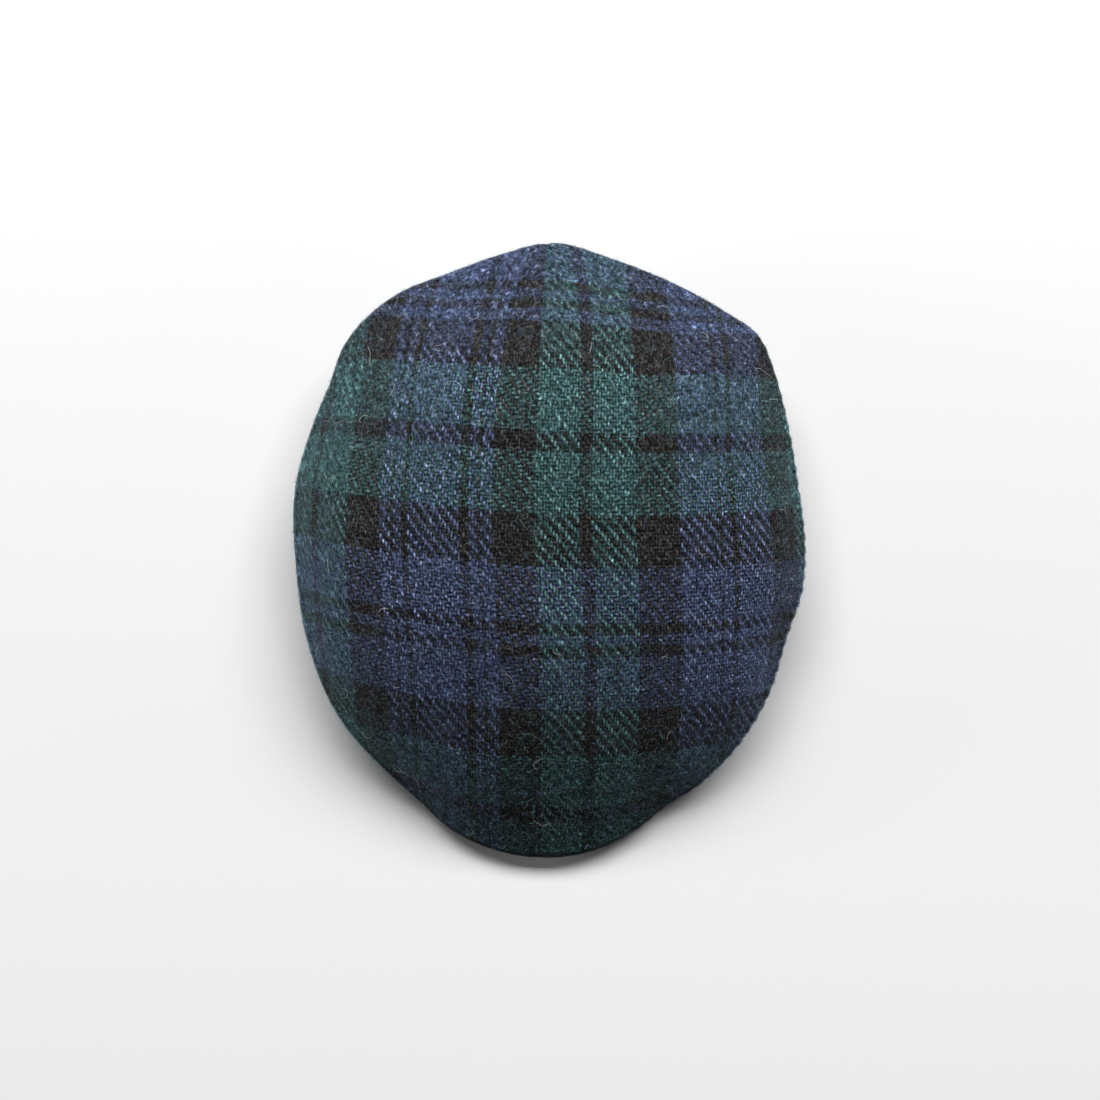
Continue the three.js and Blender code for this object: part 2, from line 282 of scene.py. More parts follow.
    def slope(self, x: Array, y: Array) -> Array:
        """Steepness of the crown's outer face.

        Args:
            x: Places across, inside the outline.
            y: Places along.

        Returns:
            Rise over run at each place.
        """
        step = 2.0
        rise_x = self.height_at(x + step, y) - self.height_at(x - step, y)
        rise_y = self.height_at(x, y + step) - self.height_at(x, y - step)
        return np.hypot(rise_x, rise_y) / (2 * step)

    def roll(self, turn: Array, lean: Array | float) -> tuple[Array, Array]:
        """Reach and height of the roll at the crown's outline.

        Args:
            turn: Turns of the places.
            lean: 0 where the roll leaves the dome and 90 where the cloth hangs.

        Returns:
            The reach and the height at each turn.
        """
        reach = self.reach(turn)
        start, step = 1 - self.edge_roll / reach, 0.01
        drop = (self.crown_height(turn, start - step) - self.crown_height(turn, start)) / (step * reach)
        angle = np.radians(lean)
        out = self.edge_roll * np.sin(angle)
        fall = np.minimum(drop, 1) * out + self.edge_roll * self.roll_flatness * (1 - np.cos(angle))
        return reach - self.edge_roll + out, self.crown_height(turn, start) - fall

    def lip_bottom(self, turn: Array) -> Array:
        """Height of the bottom of the cloth that hangs below the crown's roll."""
        front = smooth(from_back(turn), self.band_end - self.lip_ramp, self.band_end)
        return self.roll(turn, 90)[1] - lerp(self.seam_lip, self.peak_lip, front)

    def opening_reach(self, turn: Array) -> Array:
        """Reach of the oval head opening, whose middle is behind the origin.

        Args:
            turn: Turns asked for.

        Returns:
            The reach at each turn.
        """
        along = np.cos(np.radians(turn)) / self.opening_half_length
        across = np.sin(np.radians(turn)) / self.opening_half_width
        offset = self.opening_shift / self.opening_half_length
        a, b = along * along + across * across, along * offset
        return (b + np.sqrt(b * b + a * (1 - offset * offset))) / a

    def peak_reach(self, turn: Array) -> Array:
        """Reach of the peak's outer edge.

        Args:
            turn: Turns asked for.

        Returns:
            The reach at each turn: beside the oval at the corners, under the crown's edge in front.
        """
        part = smooth(from_back(turn), self.peak_corner, self.peak_notch)
        tucked = self.reach(turn) - self.wall - self.seam_gap - self.peak_clearance
        return lerp(self.opening_reach(turn) + self.peak_corner_width, tucked, np.sqrt(part))

    def peak_top(self, turn: Array, reach: Array) -> Array:
        """Height of the peak's upper face.

        Args:
            turn: Turns of the places.
            reach: Reach of each place.

        Returns:
            The height at each place.
        """
        inner = self.opening_reach(turn)
        part = (reach - inner) / (self.peak_reach(turn) - inner)
        half = np.array(self.peak_heights, float)
        table = np.concatenate([half, half[-2::-1]])
        table[len(half):, 0] = 360 - table[len(half):, 0]
        low, high = (through_knots(table[:, 0], table[:, k], np.mod(turn, 360)) for k in (1, 2))
        arch = self.peak_arch * part * (1 - part) * smooth(from_back(turn), self.peak_corner, self.peak_notch)
        return lerp(low, high, part) + np.maximum(arch, 0)

    def on_peak(self, turn: Array) -> Array:
        """How far a spoke is on the peak: 0 behind the temples, 1 in front of the peak's corners."""
        start = self.peak_corner - self.foot_ramp - self.seam_gap
        return smooth(from_back(turn), start, self.peak_corner - self.seam_gap)

    def foot(self, turn: Array) -> tuple[Array, Array]:
        """Foot of a side band, on the floor behind and on the peak in front.

        Args:
            turn: Turns asked for.

        Returns:
            The reach and the height at each turn.
        """
        behind = from_back(turn) < self.peak_corner
        free = self.opening_reach(turn) + (self.peak_corner_width - self.band_step) * self.on_peak(turn)
        reach = np.where(behind, free, self.peak_reach(turn) - self.band_step)
        lap = np.mod(turn, 360)
        corner = np.where(lap > 180, 360 - self.peak_corner, self.peak_corner)
        spoke = np.where(behind, corner, lap)
        return reach, self.on_peak(turn) * (self.peak_top(spoke, reach) + self.foot_gap)

    def band(self, turn: Array, up: Array) -> tuple[Array, Array]:
        """Outer face of a side band.

        Args:
            turn: Turns of the places.
            up: 0 at the foot and 1 at the crown's lip.

        Returns:
            The reach and the height at each place.
        """
        foot, foot_z = self.foot(turn)
        head, head_z = self.reach(turn) - self.head_inset, self.lip_bottom(turn) - self.seam_gap
        length = np.hypot(head - foot, head_z - foot_z)
        belly = np.minimum(self.band_bulge, length * self.bulge_share) * 4 * up * (1 - up)
        reach = lerp(foot, head, up) + belly * (head_z - foot_z) / length
        height = lerp(foot_z, head_z, up) - self.bulge_drop * belly * (head - foot) / length
        return reach, height


# -------------------- the cloth
class Wool(Enum):
    """Dyed yarns of the tartan, as linear colours."""

    GREEN = (0.060, 0.137, 0.141)
    NAVY = (0.072, 0.096, 0.190)
    BLACK = (0.034, 0.032, 0.031)


@dataclass(frozen=True)
class Sett:
    """Order of the yarns across one repeat of the tartan, from the middle of a thin black line."""

    stripes: tuple[tuple[Wool, float], ...]

    def repeat(self) -> float:
        """Threads in one repeat."""
        return sum(threads for _, threads in self.stripes)

    def wool_at(self, thread: Array) -> Array:
        """Linear colour of threads.

        Args:
            thread: Thread numbers.

        Returns:
            One colour for each of them.
        """
        ends = np.cumsum([threads for _, threads in self.stripes])
        colours = np.array([wool.value for wool, _ in self.stripes])
        which = np.searchsorted(ends, np.mod(thread, self.repeat()), side="right")
        return colours[np.minimum(which, len(colours) - 1)]


def tartan(green: float, line: float, gaps: Limits, wide_first: bool) -> Sett:
    """One repeat of the tartan.

    Args:
        green: Threads of green on either side of the thin black line in the green.
        line: Threads of each thin black line in the navy.
        gaps: Threads between a pair of lines, in the navy with one pair and in the navy with two.
        wide_first: Whether the navy with two pairs of lines comes first.

    Returns:
        The stripes in order.
    """
    pairs = [((Wool.BLACK, line), (Wool.NAVY, gap), (Wool.BLACK, line)) for gap in gaps]
    single = ((Wool.NAVY, 15), *pairs[0], (Wool.NAVY, 15))
    double = ((Wool.NAVY, 4), *pairs[1], (Wool.NAVY, 18), *pairs[1], (Wool.NAVY, 4))
    first, second = (double, single) if wide_first else (single, double)
    edge, half_line = ((Wool.GREEN, green), (Wool.BLACK, 14)), (Wool.BLACK, 2)
    to_line = (half_line, *edge, *first, *edge[::-1])
    return Sett((*to_line, (Wool.BLACK, 4), *edge, *second, *edge[::-1], half_line))


@dataclass(frozen=True)
class Lie:
    """How the cut cloth lies over the crown: thread numbers from places."""

    end_pitch: float = 1.26
    pick_pitch: float = 1.575
    line_x: float = 14.2
    line_y: float = 44.5
    seam_top: float = -1.5
    seam_length: float = 70
    seam_lean: float = 0.055
    dart_start: float = 70.0
    dart_apex: float = 138.0
    dart_left: float = -11.5
    dart_right: float = 10.5
    dart_most: float = 1.05
    dart_spread: float = 50.0
    # y, then how far the warp leans to the right side and the weft is drawn to the back,
    # each at the right side, the middle and the left side, which are this far from the middle
    drift_side: float = 100
    drift: tuple[tuple[float, ...], ...] = (
        (-130, 3.5, -3, 0.5, 5, -15, -1.5), (-95, 2, -3, -2, 6.5, -7, -1.5), (-60, -1, -3.5, -4, 12, -2, 3),
        (-25, -1.5, -2.5, -4.5, 13, 1.5, 3.5), (15, -1, -0.5, -2, 13.5, 2, 4.5),
        (55, -1.5, -1.5, 1, 14, 2, 4), (95, -5.5, -3.5, 4, 16, 6.5, 2.5), (130, -10, -6, 6, 21.5, 14.5, 0),
    )

    def pitch(self) -> Array:
        """Millimetres from one warp thread to the next, and from one weft thread to the next."""
        return np.array([self.end_pitch, self.pick_pitch])

    def seam_x(self, y: Array) -> Array:
        """Where the dart's seam runs across the crown."""
        return self.seam_top - np.clip(self.dart_apex - y, 0, self.seam_length) * self.seam_lean

    def drawn(self, x: Array, y: Array, first: int) -> Array:
        """Three neighbouring columns of the drift table, blended across the cap.

        Args:
            x: Places across.
            y: Places along.
            first: Which column of the table is the first.

        Returns:
            How far the threads are moved at each place, in millimetres.
        """
        table = np.array(self.drift)
        side = x / self.drift_side
        along = np.clip(y, table[0, 0], table[-1, 0])
        right, middle, left = (through_knots(table[:, 0], table[:, first + k], along) for k in range(3))
        return right * side * (side - 1) / 2 + middle * (1 - side * side) + left * side * (side + 1) / 2

    def dart_pull(self, x: Array, y: Array, left_of_seam: Array) -> Array:
        """How far the cloth sewn into the dart pulls the warp sideways.

        Args:
            x: Places across.
            y: Places along.
            left_of_seam: Whether each place belongs to the cloth on the -X side of the dart.

        Returns:
            The pull at each place, in millimetres.
        """
        part = np.clip((y - self.dart_start) / (self.dart_apex - self.dart_start), 0, self.dart_most)
        spread = np.exp(-np.abs(x - self.seam_x(y)) / self.dart_spread)
        return np.where(left_of_seam, self.dart_left, self.dart_right) * part * part * spread


class CrownCloth:
    """Thread numbers over the crown, from the length of cloth along its curves."""

    def __init__(self, shape: CapShape, lie: Lie) -> None:
        """Measure the crown's curves once on a fine plan grid.

        Args:
            shape: Form of the cap.
            lie: How the cloth lies on it.
        """
        self.lie = lie
        self.step = 1.0
        self.x0, self.y0 = -130.0, -155.0
        xs = np.arange(self.x0, -self.x0 + self.step, self.step)
        ys = np.arange(self.y0, -self.y0 + self.step, self.step)
        grid_x, grid_y = np.meshgrid(xs, ys)
        height = shape.height_at(grid_x.ravel(), grid_y.ravel()).reshape(grid_x.shape)
        self.across = self.lengths(np.hypot(1, np.gradient(height, self.step, axis=1)), 1, -self.x0)
        self.along = self.lengths(np.hypot(1, np.gradient(height, self.step, axis=0)), 0, -self.y0)

    def lengths(self, stretch: Array, axis: int, middle: float) -> Array:
        """Running length along one axis of the grid, zero at the middle."""
        total = (np.cumsum(stretch, axis=axis) - 0.5 * stretch) * self.step
        return total - np.take(total, [int(middle / self.step)], axis=axis)

    def sample(self, grid: Array, x: Array, y: Array) -> Array:
        """Value of a grid between its points.

        Args:
            grid: One value for each point of the plan grid.
            x: Places across.
            y: Places along.

        Returns:
            The value at each place.
        """
        last_cell = 1.001
        column = np.clip((x - self.x0) / self.step, 0, grid.shape[1] - last_cell)
        row = np.clip((y - self.y0) / self.step, 0, grid.shape[0] - last_cell)
        i, j = column.astype(int), row.astype(int)
        across, down = column - i, row - j
        top = grid[j, i] * (1 - across) + grid[j, i + 1] * across
        low = grid[j + 1, i] * (1 - across) + grid[j + 1, i + 1] * across
        return top * (1 - down) + low * down

    def threads(self, x: Array, y: Array, right_of_seam: Array) -> Array:
        """Thread numbers at places on the crown.

        Args:
            x: Places across.
            y: Places along.
            right_of_seam: Whether each place belongs to the cloth on the +X side of the dart.

        Returns:
            One row of warp and weft thread numbers for each place.
        """
        lie = self.lie
        shift = lie.drawn(x, y, 1) + lie.dart_pull(x, y, ~right_of_seam)
        end = (self.sample(self.across, x, y) - lie.line_x + shift) / lie.end_pitch
        pick = (self.sample(self.along, x, y) - lie.line_y - lie.drawn(x, y, 4)) / lie.pick_pitch
        return np.stack([end, pick], axis=-1)


@dataclass(frozen=True)
class Raising:
    """Where the nap stands up: least on the top, most down the slopes at the back and the right."""

    least: float = 0.15
    slopes: Limits = (0.62, 1.07)
    back_ease: float = 0.1
    back_y: Limits = (60, 100)
    front_share: float = 0.65
    front_y: Limits = (-70, 20)
    left_share: float = 0.5
    left_x: Limits = (60, 95)
    # behind the top, beside it and ahead of it the nap stands up at least this much
    behind: float = 0.55
    behind_y: Limits = (68, 95)
    beside_x: Limits = (15, 60)
    beside_y: Limits = (10, 60)
    ahead: float = 0.25
    ahead_y: Limits = (12, 42)
    ahead_end: Limits = (-105, -75)

    def at(self, shape: CapShape, x: Array, y: Array) -> Array:
        """How far the nap stands up.

        Args:
            shape: Form of the cap.
            x: Places across.
            y: Places along.

        Returns:
            0 where it lies flat to 1 where it stands up most, for each place.
        """
        ease = self.back_ease * smooth(y, *self.back_y)
        raised = lerp(self.least, 1.0, smooth(shape.slope(x, y) + ease, *self.slopes))
        raised = raised * lerp(self.front_share, 1.0, smooth(y, *self.front_y))
        raised = raised * lerp(1.0, self.left_share, smooth(x, *self.left_x))
        beside = smooth(y, *self.beside_y) * smooth(np.abs(x), *self.beside_x)
        behind = self.behind * np.maximum(beside, smooth(y, *self.behind_y))
        ahead = self.ahead * smooth(-y, *self.ahead_y) * smooth(y, *self.ahead_end)
        return np.maximum(raised, np.maximum(behind, ahead))


# -------------------- finishes
@dataclass(frozen=True)
class Grain:
    """Noise: its fineness, detail and roughness."""

    scale: float
    detail: float = 0.0
    rough: float = 0.5


class Board:
    """Shorthand for joining the shader nodes of one material or world."""

    def __init__(self, tree: bpy.types.NodeTree) -> None:
        """Start with an empty tree."""
        self.tree = tree
        self.tree.nodes.clear()

    def add(self, kind: str, **settings: object) -> bpy.types.Node:
        """Add a node.

        Args:
            kind: Its type, without what all shader nodes' types begin with.
            settings: Properties to set.

        Returns:
            The node.
        """
        node = self.tree.nodes.new(f"ShaderNode{kind}")
        for name, value in settings.items():
            setattr(node, name, value)
        return node

    def feed(self, node: bpy.types.Node, sockets: dict[str | int, object]) -> bpy.types.Node:
        """Join outputs to a node's sockets, or set the sockets' own values.

        Args:
            node: The node.
            sockets: An output or a value for each socket's name or number.

        Returns:
            The same node.
        """
        for socket, value in sockets.items():
            if isinstance(value, Socket):
                self.tree.links.new(value, node.inputs[socket])
            else:
                node.inputs[socket].default_value = value
        return node

    def result(self, kind: str, *values: object, **settings: object) -> Socket:
        """First output of a new node whose sockets are fed in order."""
        return self.feed(self.add(kind, **settings), dict(enumerate(values))).outputs[0]

    def calc(self, how: str, *values: object, clamp: bool = False) -> Socket:
        """Result of a Math node."""
        return self.result("Math", *values, operation=how, use_clamp=clamp)

    def product(self, *values: object) -> Socket:
        """Multiply numbers together, from the first to the last.

        Args:
            values: Outputs or numbers.

        Returns:
            The product.
        """
        total = values[0]
        for value in values[1:]:
            total = self.calc("MULTIPLY", total, value)
        return total

    def scaled(self, colour: object, by: object) -> Socket:
        """Colour made lighter or darker."""
        return self.feed(self.add("VectorMath", operation="SCALE"), {0: colour, "Scale": by}).outputs[0]

    def split(self, kind: str, value: object) -> list[Socket]:
        """Three parts of a vector (XYZ) or of a colour (Color)."""
        return list(self.feed(self.add(f"Separate{kind}"), {0: value}).outputs)

    def read(self, layer: Layer, output: str = "Fac") -> Socket:
        """What a layer of the mesh holds."""
        return self.add("Attribute", attribute_name=layer).outputs[output]

    def noise(self, at: object, grain: Grain) -> bpy.types.NodeOutputs:
        """Number and colour of a Noise Texture at a vector."""
        sockets = {"Vector": at, "Scale": grain.scale, "Detail": grain.detail, "Roughness": grain.rough}
        return self.feed(self.add("TexNoise"), sockets).outputs

    def span(self, value: object, old: Limits, new: Limits) -> Socket:
        """Value carried from one range to another, held inside the new one."""
        return self.result("MapRange", value, *old, *new, clamp=True)

    def mix(self, part: object, low: object, high: object) -> Socket:
        """Mix of two colours."""
        return self.feed(self.add("Mix", data_type="RGBA"), {0: part, 6: low, 7: high}).outputs[2]

    def blend(self, part: object, low: object, high: object) -> Socket:
        """Mix of two numbers."""
        return self.feed(self.add("Mix", data_type="FLOAT"), {0: part, 2: low, 3: high}).outputs[0]

    def close(self, kind: str, sockets: dict[str, object], output: str = "OutputMaterial") -> None:
        """Join a shader to the output."""
        self.feed(self.add(output), {0: self.feed(self.add(kind), sockets).outputs[0]})


def new_material(name: str) -> tuple[bpy.types.Material, Board]:
    """Material and the board of its nodes."""
    material = bpy.data.materials.new(name)
    material.use_nodes = True
    return material, Board(material.node_tree)


@dataclass(frozen=True)
class Strokes:
    """One layer of short loose fibres drawn on the cloth, sizes in millimetres."""

    spacing: float
    width: float
    bend: float
    # share of each fibre that covers the weave, where the nap is low and where it is raised
    cover: Limits
    # keeps the layers' patterns apart
    salt: float
    # where a fibre fades out, in parts of its width and of the spacing
    sides: Limits = (0.3, 1.0)
    ends: Limits = (0.35, 0.6)


@dataclass(frozen=True)
class TartanFinish:
    """Fulled 2/2 twill wool, woven from two setts. Its patterns are in thread numbers."""

    lie: Lie
    name: str = "tartan_wool"
    warp: Sett = field(default_factory=lambda: tartan(15, 2, (4, 3), wide_first=False))
    weft: Sett = field(default_factory=lambda: tartan(17.5, 3, (3, 3), wide_first=True))
    wander: float = 0.6
    wander_grain: Grain = Grain(0.55, 2.0)
    patch_grain: Grain = Grain(0.07, 2.0, 0.6)
    # how a yarn's float falls off to its sides, how square its arch is, and its height at the ends
    yarn_round: float = 0.75
    yarn_square: float = 0.55
    yarn_ends: float = 0.15
    own_shades: Limits = (0.72, 1.28)
    # how fast the fibres' lay runs across a yarn and along it
    twist: tuple[float, float] = (2.4, 0.9)
    # numbers that keep the patterns of warp and weft apart
    warp_salts: tuple[float, float] = (57.0, 31.0)
    streak_grain: Grain = Grain(1.5, 2.0, 0.7)
    streak_power: float = 900.0
    tuft_grain: Grain = Grain(0.9, 1.5, 0.6)
    tuft_power: float = 180.0
    clump_grain: Grain = Grain(0.28, 1.0, 0.6)
    line_shade: float = 0.22
    # in the pairs from here to the veil, the first is where the nap lies flat, the second where it stands
    clump_power: Limits = (1.5, 14.0)
    gap_shade: Limits = (0.0, 0.2)
    bump: Limits = (0.7, 0.35)
    veil: Limits = (0.0, 1.1)
    gap_heights: Limits = (0.25, 0.95)
    top_shade: float = 2.0
    top_loss: float = 0.75
    stray: float = 3.4
    stray_grain: Grain = Grain(0.4, 2.0)
    mingle_grain: Grain = Grain(0.8, 1.0)
    mingle: Limits = (0.25, 0.75)
    tuft_heights: Limits = (0.35, 0.65)
    tuft_cover: Limits = (0.4, 1.6)
    layers: tuple[Strokes, ...] = (
        Strokes(0.9, 0.14, 0.5, (0.35, 0.75), 3.0), Strokes(1.3, 0.13, 0.4, (0.3, 0.7), 17.0),
        Strokes(2.1, 0.12, 0.35, (0.25, 0.6), 41.0), Strokes(3.2, 0.45, 0.25, (0.0, 0.6), 59.0),
    )
    fibre_shade: Limits = (0.1, 3.4)
    fibre_rise: float = 0.35
    level: float = 0.51
    # how much darker the painted shade makes the cloth where its attribute is full
    painted_shade_depth: float = 0.45
    grey_streaks: Limits = (0.4, 0.68)
    greying: Limits = (1.15, 0.6)
    relief: float = 0.5 * MM
    sheen: float = 0.15
    sheen_roughness: float = 0.3
    sheen_tint: tuple[float, ...] = (0.75, 0.85, 1, 1)
    gloss: float = 0.04
    roughness: float = 0.9

    def sett_colour(self, board: Board, sett: Sett, thread: Socket) -> Socket:
        """Colour of one sett's yarns.

        Args:
            board: The material's nodes.
            sett: Order of the yarns.
            thread: Whole thread number.

        Returns:
            Output of a colour ramp with a stop for each stripe.
        """
        place = board.calc("FLOORED_MODULO", board.calc("ADD", thread, 0.5), sett.repeat())
        ramp = board.feed(board.add("ValToRGB"), {0: board.calc("DIVIDE", place, sett.repeat())})
        ramp.color_ramp.interpolation = "CONSTANT"
        stops = ramp.color_ramp.elements
        stops.remove(stops[1])
        start = 0.0
        for k, (wool, threads) in enumerate(sett.stripes):
            stop = stops[0] if k == 0 else stops.new(start / sett.repeat())
            stop.color = (*wool.value, 1)
            start += threads
        return ramp.outputs[0]

    def moved(self, board: Board, place: object, grain: Grain, amount: float) -> list[Socket]:
        """Both thread numbers of a place, moved about by noise.

        Args:
            board: The material's nodes.
            place: Thread numbers as a vector.
            grain: The noise, per thread.
            amount: Widest move in threads.

        Returns:
            The warp and the weft thread number.
        """
        moves = board.split("Color", board.noise(place, grain)["Color"])
        return [
            board.calc("ADD", part, board.calc("MULTIPLY_ADD", move, amount, -amount / 2))
            for part, move in zip(board.split("XYZ", place)[:2], moves)
        ]

    def yarn(self, board: Board, across: object, along: object) -> Socket:
        """Height of a yarn's float.

        Args:
            board: The material's nodes.
            across: Where a place is across the yarn, 0 to 1.
            along: Where it is along the float, 0 to 1.

        Returns:
            The height from 0 to 1.
        """
        off = board.calc("MULTIPLY_ADD", across, 2.0, -1.0)
        bulge = board.calc("SUBTRACT", 1.0, board.product(off, off, self.yarn_round))
        arch = board.calc("MAXIMUM", board.calc("SINE", board.product(along, np.pi)), 0.0)
        crown = board.calc("POWER", arch, self.yarn_square)
        return board.product(bulge, board.calc("MULTIPLY_ADD", crown, 1 - self.yarn_ends, self.yarn_ends))

    def uneven(self, board: Board, noise: object, power: object) -> Socket:
        """Shade that is above and below one in equal measure, from noise about a half."""
        return board.calc("POWER", power, board.calc("SUBTRACT", noise, 0.5))

    def strokes(self, board: Board, spot: object, layer: Strokes) -> tuple[Socket, ...]:
        """Short bent fibres lying every way, one in each cell of a scattered pattern.

        Args:
            board: The material's nodes.
            spot: Place on the cloth in millimetres.
            layer: Sizes of the fibres.

        Returns:
            How much of a fibre is at each place, and a random number for each fibre.
        """
        salt = (layer.salt, 0.7 * layer.salt, 0)
        apart = board.result("VectorMath", spot, salt, operation="ADD")
        cells = board.add("TexVoronoi", voronoi_dimensions="2D", feature="F1")
        board.feed(cells, {"Vector": apart, "Scale": 1 / layer.spacing})
        away = board.result("VectorMath", apart, cells.outputs["Position"], operation="SUBTRACT")
        angle, curl, chance = board.split("Color", cells.outputs["Color"])
        turned = board.add("VectorRotate", rotation_type="Z_AXIS")
        board.feed(turned, {"Vector": away, "Angle": board.product(angle, 2 * np.pi)})
        run, side, _ = board.split("XYZ", turned.outputs[0])
        curl = board.calc("MULTIPLY_ADD", curl, 2 * layer.bend, -layer.bend)
        bent = board.calc("MULTIPLY_ADD", board.product(run, run), curl, side)
        sides = tuple(layer.width * part for part in layer.sides)
        ends = tuple(layer.spacing * part for part in layer.ends)
        inside = board.span(board.calc("ABSOLUTE", bent), sides, (1.0, 0.0))
        return board.product(inside, board.span(board.calc("ABSOLUTE", run), ends, (1.0, 0.0))), chance

    def make(self) -> bpy.types.Material:
        """Build the material.

        Returns:
            A material that reads thread numbers from the piece's cloth UV map, and how far the nap is
            raised and how much painted shade darkens the cloth from its attributes.
        """
        material, board = new_material(self.name)
        place = board.add("UVMap", uv_map=Layer.CLOTH).outputs[0]
        raised = board.calc("SUBTRACT", board.read(Layer.NAP), 0.5)
        patch = board.noise(place, self.patch_grain)[0]
        nap = board.calc("MULTIPLY_ADD", patch, 1.0, raised, clamp=True)
        ends, picks = self.moved(board, place, self.wander_grain, self.wander)
        end, pick = board.calc("FLOOR", ends), board.calc("FLOOR", picks)
        end_part, pick_part = board.calc("FRACT", ends), board.calc("FRACT", picks)
        # each yarn goes over two and under two, one thread further on in each row
        count = board.calc("ADD", end, pick)
        step = board.calc("FLOORED_MODULO", count, 4.0)
        warp_up = board.calc("LESS_THAN", step, 1.5)
        warp_along = board.product(board.calc("ADD", step, pick_part), 0.5)
        weft_along = board.product(board.calc("ADD", board.calc("SUBTRACT", step, 2.0), end_part), 0.5)
        height = board.blend(
            warp_up, self.yarn(board, pick_part, weft_along), self.yarn(board, end_part, warp_along)
        )
        # each float is a little lighter or darker than the next
        float_salt, lay_salt = (board.product(warp_up, salt) for salt in self.warp_salts)
        diagonal = board.calc("FLOOR", board.product(count, 0.25))
        own = board.result("CombineXYZ", board.blend(warp_up, pick, end), diagonal, float_salt)
        chance = board.result("TexWhiteNoise", own, noise_dimensions="3D")
        own_shade = board.span(chance, (0, 1), self.own_shades)
        # twisted fibres run slantwise along each yarn
        across, along = board.blend(warp_up, picks, ends), board.blend(warp_up, ends, picks)
        run = board.product(along, self.twist[1])
        slope = board.calc("MULTIPLY_ADD", across, self.twist[0], run)
        lay = board.result("CombineXYZ", slope, run, lay_salt)
        streak = board.noise(lay, self.streak_grain)[0]
        streak_shade = self.uneven(board, streak, self.streak_power)
        # tufts where the fulled surface is higher or lower, and clumps of them
        tuft = board.noise(place, self.tuft_grain)
        tuft_shade = self.uneven(board, tuft[0], self.tuft_power)
        clump = board.noise(place, self.clump_grain)[0]
        clump_shade = self.uneven(board, clump, board.blend(nap, *self.clump_power))
        # painted shade: the diagonal lines of the twill, painted darker in their grooves and lighter on their
        # ridges, stay when the nap has hidden the yarns
        slant = board.product(board.calc("SUBTRACT", board.calc("ADD", ends, picks), 1.5), np.pi / 2)
        line = board.calc("MULTIPLY_ADD", board.calc("COSINE", slant), self.line_shade, 1.0)
        surface = board.product(tuft_shade, board.product(clump_shade, line))
        weave = board.mix(
            warp_up, self.sett_colour(board, self.weft, pick), self.sett_colour(board, self.warp, end)
        )
        # painted shade: the gaps between the yarns are painted dark where the nap doesn't fill them, with a
        # painted highlight on the tops of the yarns
        gaps = board.blend(nap, *self.gap_shade)
        tops = board.calc("MULTIPLY_ADD", gaps, -self.top_loss, self.top_shade)
        cavity = board.blend(board.span(height, self.gap_heights, (0.0, 1.0)), gaps, tops)
        woven = board.scaled(weave, board.product(cavity, own_shade, streak_shade, surface))
        # loose fibres of the yarns near by lie over the weave
        stray_end, stray_pick = self.moved(board, place, self.stray_grain, self.stray)
        loose = board.mix(
            board.span(board.noise(place, self.mingle_grain)[0], self.mingle, (0.0, 1.0)),
            self.sett_colour(board, self.weft, board.calc("FLOOR", stray_pick)),
            self.sett_colour(board, self.warp, board.calc("FLOOR", stray_end)),
        )
        loose = board.scaled(loose, surface)
        cover = board.span(tuft["Color"], self.tuft_heights, self.tuft_cover)
        veil = board.calc("MULTIPLY", board.blend(nap, *self.veil), cover, clamp=True)
        colour = board.mix(veil, woven, loose)
        flat = board.result("VectorMath", place, (*self.lie.pitch(), 1), operation="MULTIPLY")
        rise = board.calc("MULTIPLY_ADD", streak, self.fibre_rise, height)
        for layer in self.layers:
            there, chance = self.strokes(board, flat, layer)
            there = board.product(there, board.blend(nap, *layer.cover))
            fibre = board.scaled(loose, board.span(chance, (0, 1), self.fibre_shade))
            colour = board.mix(there, colour, fibre)
            rise = board.calc("MULTIPLY_ADD", there, self.fibre_rise, rise)
        # the strands that catch the light are greyer than the rest
        grey = board.span(streak, self.grey_streaks, self.greying)
        # painted shade: the cloth is painted darker by its painted-shade attribute, towards the front and on
        # the front's turned-down edge
        level = board.calc("MULTIPLY_ADD", board.read(Layer.WORN), -self.level * self.painted_shade_depth, self.level)
        dyed = board.feed(board.add("HueSaturation"), {"Saturation": grey, "Value": level, "Color": colour})
        strength = board.blend(nap, *self.bump)
        relief = {"Strength": strength, "Distance": self.relief, "Height": rise}
        bump = board.feed(board.add("Bump"), relief)
        board.close("BsdfPrincipled", {
            "Base Color": dyed.outputs[0], "Normal": bump.outputs[0], "Roughness": self.roughness,
            "Specular IOR Level": self.gloss, "Sheen Weight": self.sheen,
            "Sheen Roughness": self.sheen_roughness, "Sheen Tint": self.sheen_tint,
        })
        return material


@dataclass(frozen=True)
class FibreFinish:
    """Loose wool fibres, each in the tone kept on its mesh."""

    name: str = "wool_fibre"
    roughness: float = 0.7
    gloss: float = 0.3
    grain: Grain = Grain(900.0, 1.0)
    uneven: Limits = (0.3, 0.7)
    shades: Limits = (0.75, 1.2)

    def make(self) -> bpy.types.Material:
        """Build the material.

        Returns:
            A material that reads each fibre's tone, a little uneven along it.
        """
        material, board = new_material(self.name)
        spot = board.add("TexCoord").outputs["Object"]
        shade = board.span(board.noise(spot, self.grain)[0], self.uneven, self.shades)
        board.close("BsdfPrincipled", {
            "Base Color": board.scaled(board.read(Layer.TONE, "Color"), shade),
            "Roughness": self.roughness, "Specular IOR Level": self.gloss,
        })
        return material


# -------------------- meshes
def put_in_scene(name: str, data: bpy.types.ID) -> bpy.types.Object:
    """New object in the scene that holds the data."""
    made = bpy.data.objects.new(name, data)
    bpy.context.scene.collection.objects.link(made)
    return made


